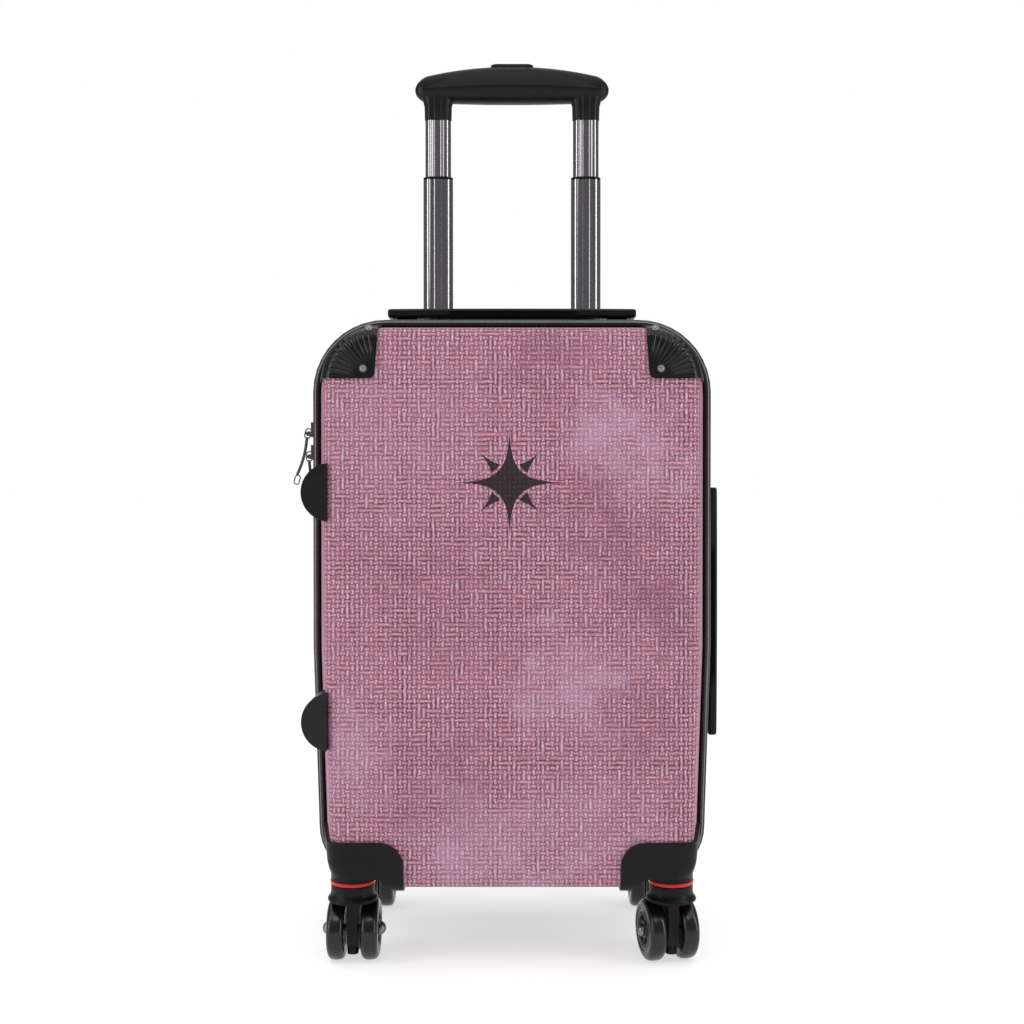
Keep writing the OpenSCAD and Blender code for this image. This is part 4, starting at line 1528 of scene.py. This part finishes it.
    def bar_ring(self, x: float, base: float, crown: float) -> list[Vector]:
        """One section of the grip bar, rounder below than above."""
        under, top, deep = self.bar_size(x, base, crown)
        ring = []
        for step in range(48):
            turn = math.tau * step / 48
            c, s = math.cos(turn), math.sin(turn)
            power = 0.55 if s > 0 else 0.8
            y = deep * math.copysign(abs(c) ** power, c)
            z = (under + top) / 2 + (top - under) / 2 * math.copysign(abs(s) ** 0.8, s)
            ring.append(Vector((x, self.y + y * (1 if s > -0.3 else 0.96), z)))
        return ring

    def panels(self, base: float, crown: float) -> None:
        """Makes the long satin panels that are let into the bar's front and back."""
        pair = []
        for facing in (-1, 1):
            def place(u: float, v: float, facing: int = facing) -> Vector:
                """Lays one point of a panel on the bar."""
                x = (u * 2 - 1) * self.panel_half
                under, top, deep = self.bar_size(x, base, crown)
                full = (top - under)
                taper = 1 - abs(u * 2 - 1) ** 3.2
                low_z = under + full * (0.46 - 0.03 * taper)
                high_z = low_z + full * (0.36 * taper + 0.015)
                z = low_z + (high_z - low_z) * v
                share = (z - (under + top) / 2) / ((top - under) / 2)
                s = math.copysign(min(1.0, abs(share)) ** (1 / 0.8), share)
                c = math.sqrt(max(0.0, 1 - s * s))
                return Vector((x, self.y + facing * (deep * c ** 0.55 + 0.25 * MM), z))
            panel = lattice("panel", 64, 12, place)
            modify(panel, "SOLIDIFY", thickness=1.2 * MM, offset=-1)
            pair.append(panel)
        panels = smooth(join("trolley_grip_panels", pair), 40, False)
        self.mount(panels, "trolley_upper", "soft_grip", "soft_touch")

    def button(self) -> bpy.types.Object:
        """Makes the slim push button with a crowned top."""
        low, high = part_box("trolley_button")
        rings = []
        outline = rounded_rectangle(self.button_w, high[1] - low[1], 4 * MM, 6)
        top = high[2] + 1.6 * MM
        for z, k in ((low[2], 1.0), (top - 1.6 * MM, 1.0), (top - 0.6 * MM, 0.985), (top - 0.1 * MM, 0.93),
                     (top, 0.8), (top + 0.1 * MM, 0.4)):
            crown = 1.0 * MM if z > low[2] else 0
            rings.append([Vector((x * k, self.y + y * (k if k > 0.9 else k * 0.9),
                                  z - crown * (x * k / (27 * MM)) ** 2)) for x, y in outline])
        return smooth(loft("trolley_push_button", rings), 40, False)


# ---------------------------------------------------------------- carry handles


@dataclass
class CarryHandles(Assembly):
    """The top and side carry handles, each with a recessed middle and two sockets."""

    recess: float = 65 * MM
    slant: float = 8 * MM
    depth: float = 2.2 * MM
    longer: float = 3 * MM

    def build(self) -> None:
        """Makes both handles."""
        low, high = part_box("top_handle_grip")
        size = (high[0] - low[0], high[1] - low[1])
        top = high[2]
        lay = Matrix.Translation((0, (low[1] + high[1]) / 2, top))
        self.mount(self.grip("top_handle_bar", size, lay, 12 * MM), "top_handle", "soft_grip", "handle_plastic",
                   "top_handle_grip")
        self.mount(self.pad("top_handle_pad", size, lay), "top_handle", "soft_grip", "soft_touch")
        low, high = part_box("side_handle_grip")
        size = (high[2] - low[2], high[1] - low[1])
        lay = Matrix.Translation((high[0], (low[1] + high[1]) / 2, (low[2] + high[2]) / 2)) \
            @ Matrix.Rotation(math.radians(90), 4, "Y")
        self.mount(self.grip("side_handle_bar", size, lay, 9 * MM), "side_handle", "soft_grip", "handle_plastic",
                   "side_handle_grip")
        self.mount(self.pad("side_handle_pad", size, lay), "side_handle", "soft_grip", "soft_touch")
        for node in ("top_handle_base", "side_handle_base"):
            base = rounded_copy(node, f"{node}_sockets", 0.8 * MM, 3, 50)
            self.mount(base, "case_body", "black_plastic", "housing_plastic", node)

    def grip(self, name: str, size: tuple[float, float], lay: Matrix, leg: float) -> bpy.types.Object:
        """Makes a handle bar lying along X under the origin, with a leg near each end.

        Args:
            name: The piece's name.
            size: Its length and width.
            lay: Where it goes.
            leg: The length of its legs.

        Returns:
            The bar.
        """
        length, width = size
        thick = 8 * MM
        rings = []
        length += self.longer
        places = [length / 2 * math.sin(math.radians(-90 + 180 * i / 96)) for i in range(1, 96)]
        for x in places:
            gone = length / 2 - abs(x)
            ease = math.sqrt(max(0.0, 1 - max(0.0, 1 - gone / (3 * MM)) ** 2))
            hollow = max(0.0, min(1.0, (self.recess - abs(x)) / self.slant))
            ring = []
            for y, z in rounded_rectangle(width * (0.9 + 0.1 * ease), thick * (0.6 + 0.4 * ease), 2.4 * MM, 5):
                lower = max(0.0, min(1.0, (0.6 * MM - z) / (1.2 * MM)))
                edge = max(0.0, min(1.0, (abs(y) - width / 2 + 4 * MM) / (3 * MM)))
                y -= math.copysign(self.depth * hollow * lower * edge, y)
                ring.append(Vector((x, y, z - thick / 2 + 0.4 * MM * (1 - (2 * x / length) ** 2))))
            rings.append(ring)
        parts = [loft("bar", rings)]
        for side in (-1, 1):
            post = cube("post", (side * (length / 2 - 17 * MM) - 9 * MM, -6 * MM, -thick - leg),
                        (side * (length / 2 - 17 * MM) + 9 * MM, 6 * MM, -thick + 1 * MM))
            modify(post, "BEVEL", width=1.6 * MM, segments=3, limit_method="ANGLE")
            parts.append(post)
        return moved(smooth(join(name, parts), 40, False), lay)

    def pad(self, name: str, size: tuple[float, float], lay: Matrix) -> bpy.types.Object:
        """Makes the ribbed pad on the underside of a handle's middle."""
        width = size[1]
        ribs = []
        base = cube("pad", (-self.recess + self.slant, -width / 2 + 5 * MM, -9.2 * MM),
                    (self.recess - self.slant, width / 2 - 5 * MM, -7.6 * MM))
        modify(base, "BEVEL", width=0.7 * MM, segments=3, limit_method="ANGLE")
        ribs.append(base)
        rib = cube("rib", (-0.8 * MM, -width / 2 + 6.5 * MM, -9.6 * MM),
                   (0.8 * MM, width / 2 - 6.5 * MM, -9.0 * MM))
        modify(rib, "BEVEL", width=0.3 * MM, segments=2, limit_method="ANGLE")
        for index in range(-13, 14):
            ribs.append(another(rib, "rib", Matrix.Translation((index * 4 * MM, 0, 0))))
        bpy.data.objects.remove(rib)
        return moved(smooth(join(name, ribs), 40, False), lay)


# ---------------------------------------------------------------- zip sliders and pulls


@dataclass
class ZipPulls(Assembly):
    """Two sliders on the zip, each with a wire ring, a curved strap pull and an end loop."""

    wire: float = 0.55 * MM

    def build(self) -> None:
        """Makes both sliders and pulls."""
        for word, pivot, lean in (("high", Vector((-180 * MM, -23.6 * MM, 451 * MM)), 15.0),
                                  ("low", Vector((-180 * MM, -16.4 * MM, 431 * MM)), 2.0)):
            slider = rounded_copy(f"zip_slider_{word}", f"zip_slider_{word}_body", 0.45 * MM, 2, 40)
            self.mount(slider, f"slider_{word}", "slider_metal", "gunmetal", f"zip_slider_{word}")
            turn = Matrix.Translation(pivot) @ Matrix.Rotation(math.radians(lean), 4, "Y")
            hook = self.ring("hook", 6.2 * MM, 9.6 * MM, Vector((-0.4 * MM, 0, 0.2 * MM)))
            end = self.ring("end", 5.6 * MM, 9.4 * MM, Vector((0.8 * MM, 0, -41.8 * MM)))
            rings = join(f"pull_{word}_rings", [moved(hook, turn), moved(end, turn)])
            self.mount(smooth(rings, 60, False), f"pull_{word}", "slider_metal", "gunmetal", f"zip_pull_{word}")
            strap = moved(self.strap(), turn)
            strap.name = f"pull_{word}_strap"
            self.mount(smooth(strap, 40, False), f"pull_{word}", "pull_rubber", "pull_rubber")

    def ring(self, name: str, width: float, height: float, centre: Vector) -> bpy.types.Object:
        """Makes a rounded wire ring in the XZ plane.

        Args:
            name: Its name.
            width: Its outer width.
            height: Its outer height.
            centre: Its centre.

        Returns:
            The ring.
        """
        path = rounded_rectangle(width - 2 * self.wire, height - 2 * self.wire, 2.2 * MM, 5)
        sections = []
        for index, (x, z) in enumerate(path):
            before, after = path[index - 1], path[(index + 1) % len(path)]
            way = Vector((after[0] - before[0], 0, after[1] - before[1])).normalized()
            out = Vector((way.z, 0, -way.x))
            sections.append(wire_ring(centre + Vector((x, 0, z)), out, self.wire))
        return loft(name, sections, closed=True)

    def strap(self) -> bpy.types.Object:
        """Makes the curved strap that hangs between the two rings."""
        sections = []
        for step in range(17):
            share = step / 16
            z = -3.0 * MM - 35.5 * MM * share
            bow = 1.6 * MM * math.sin(math.pi * share) - 0.4 * MM
            thin = 0.75 if step in (0, 16) else 1.0
            sections.append([Vector((bow + x * thin, y * thin, z)) for x, y in
                             rounded_rectangle(2.0 * MM, 5.4 * MM, 0.7 * MM, 4)])
        return loft("strap", sections)


# ---------------------------------------------------------------- interior


@dataclass
class Interior(Assembly):
    """Linings, divider panel, packing straps and the cloth hinge."""

    strap_w: float = 25 * MM
    hinge_z: tuple[float, float] = (150 * MM, 450 * MM)

    def build(self) -> None:
        """Makes the soft goods inside the case."""
        for half in Half:
            lining = copy_of_node(f"{half.word}_lining", f"{half.word}_cloth_lining")
            self.mount(smooth(lining, 35), half.body, "lining", "lining_cloth", f"{half.word}_lining")
        self.divider()
        self.straps()
        self.hinge()

    def divider(self) -> None:
        """Makes the zipped cloth panel that closes the front half."""
        low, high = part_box("front_lining")
        x, low_z, high_z = high[0] - 6 * MM, low[2] + 8 * MM, high[2] - 8 * MM
        y = high[1] - 9 * MM

        def place(u: float, v: float) -> Vector:
            """Lays one point of the panel, with rounded corners and slack folds."""
            px, pz = (u * 2 - 1), (v * 2 - 1)
            corner = 0.30
            cx = max(0.0, abs(px) - (1 - corner)) / corner
            cz = max(0.0, abs(pz) - (1 - corner)) / corner
            pull = 1.0
            if cx > 0 and cz > 0:
                far = math.hypot(cx, cz)
                most = max(cx, cz)
                pull = most / far
            qx = math.copysign(min(abs(px), 1 - corner) + cx * pull * corner, px)
            qz = math.copysign(min(abs(pz), 1 - corner) + cz * pull * corner, pz)
            hold = (1 - qx ** 4) * (1 - qz ** 4)
            slack = hold * (1.2 * MM * math.sin(9 * qx + 3 * qz) * math.cos(5 * qz - 2 * qx) - 2.5 * MM)
            return Vector((qx * x, y + slack, (low_z + high_z) / 2 + qz * (high_z - low_z) / 2))

        panel = lattice("divider_panel", 72, 110, place)
        modify(panel, "SOLIDIFY", thickness=0.8 * MM, offset=0)
        self.mount(smooth(panel, 60, False), "lid", "lining", "lining_cloth")

    def straps(self) -> None:
        """Makes the crossed elastic packing straps of the rear half, and their buckle."""
        low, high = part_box("rear_lining")
        y = low[1] + 12 * MM
        middle = Vector((0, y, (low[2] + high[2]) / 2))
        reach_x, reach_z = high[0] - 6 * MM, 120 * MM
        made = []
        for index, (sx, sz) in enumerate(((1, 1), (-1, 1), (-1, -1), (1, -1))):
            end = middle + Vector((sx * reach_x, 6 * MM, sz * reach_z))
            way = (end - middle).normalized()
            side = way.cross(Vector((0, 1, 0))).normalized()

            def place(u: float, v: float, end: Vector = end, side: Vector = side) -> Vector:
                """Lays one point of a strap."""
                sag = 3 * MM * math.sin(math.pi * v)
                return middle.lerp(end, v) + side * (u - 0.5) * self.strap_w + Vector((0, sag, 0))

            strap = lattice(f"packing_strap_{index}", 8, 40, place)
            modify(strap, "SOLIDIFY", thickness=1.2 * MM, offset=0)
            self.mount(smooth(strap, 60, False), "case_body", "lining", "strap_cloth")
            made.append(strap)
        plate = cube("strap_buckle", middle + Vector((-21 * MM, -3.6 * MM, -19 * MM)),
                     middle + Vector((21 * MM, 3.0 * MM, 19 * MM)))
        modify(plate, "BEVEL", width=2.4 * MM, segments=4, limit_method="NONE")
        latch = cube("latch", middle + Vector((-9 * MM, -4.6 * MM, -7 * MM)),
                     middle + Vector((9 * MM, -3 * MM, 7 * MM)))
        modify(latch, "BEVEL", width=0.7 * MM, segments=3, limit_method="NONE")
        buckle = smooth(join("strap_buckle", [plate, latch]), 40)
        self.mount(buckle, "case_body", "black_plastic", "housing_plastic")

    def hinge(self) -> None:
        """Makes the cloth hinge inside the right wall."""
        low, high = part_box("hinge_tape")

        def place(u: float, v: float) -> Vector:
            """Lays one point of the hinge cloth."""
            edge = 0.25 * MM * math.sin(34 * v)
            return Vector(((low[0] + high[0]) / 2 + edge, low[1] + (high[1] - low[1]) * u,
                           self.hinge_z[0] + (self.hinge_z[1] - self.hinge_z[0]) * v))

        cloth = lattice("hinge_cloth", 24, 60, place)
        modify(cloth, "SOLIDIFY", thickness=0.8 * MM, offset=0)
        self.palette.dress(smooth(cloth, 60, False), "strap_cloth")
        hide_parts("hinge_tape")
        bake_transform(cloth)


# ---------------------------------------------------------------- the whole object


def main() -> None:
    """Builds the studio and every sub-assembly, in order."""
    logging.basicConfig(level=logging.INFO, format="%(name)s: %(message)s")
    deselect()
    Studio().build()
    palette = Palette()
    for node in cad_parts.values():
        palette.dress(node, "housing_plastic")
    for assembly in (HardShells, CornerGuards, RimsAndZip, FeetAndHousings, Casters, Trolley, CarryHandles,
                     ZipPulls, Interior):
        assembly(palette).build()


if __name__ == "__main__":
    main()
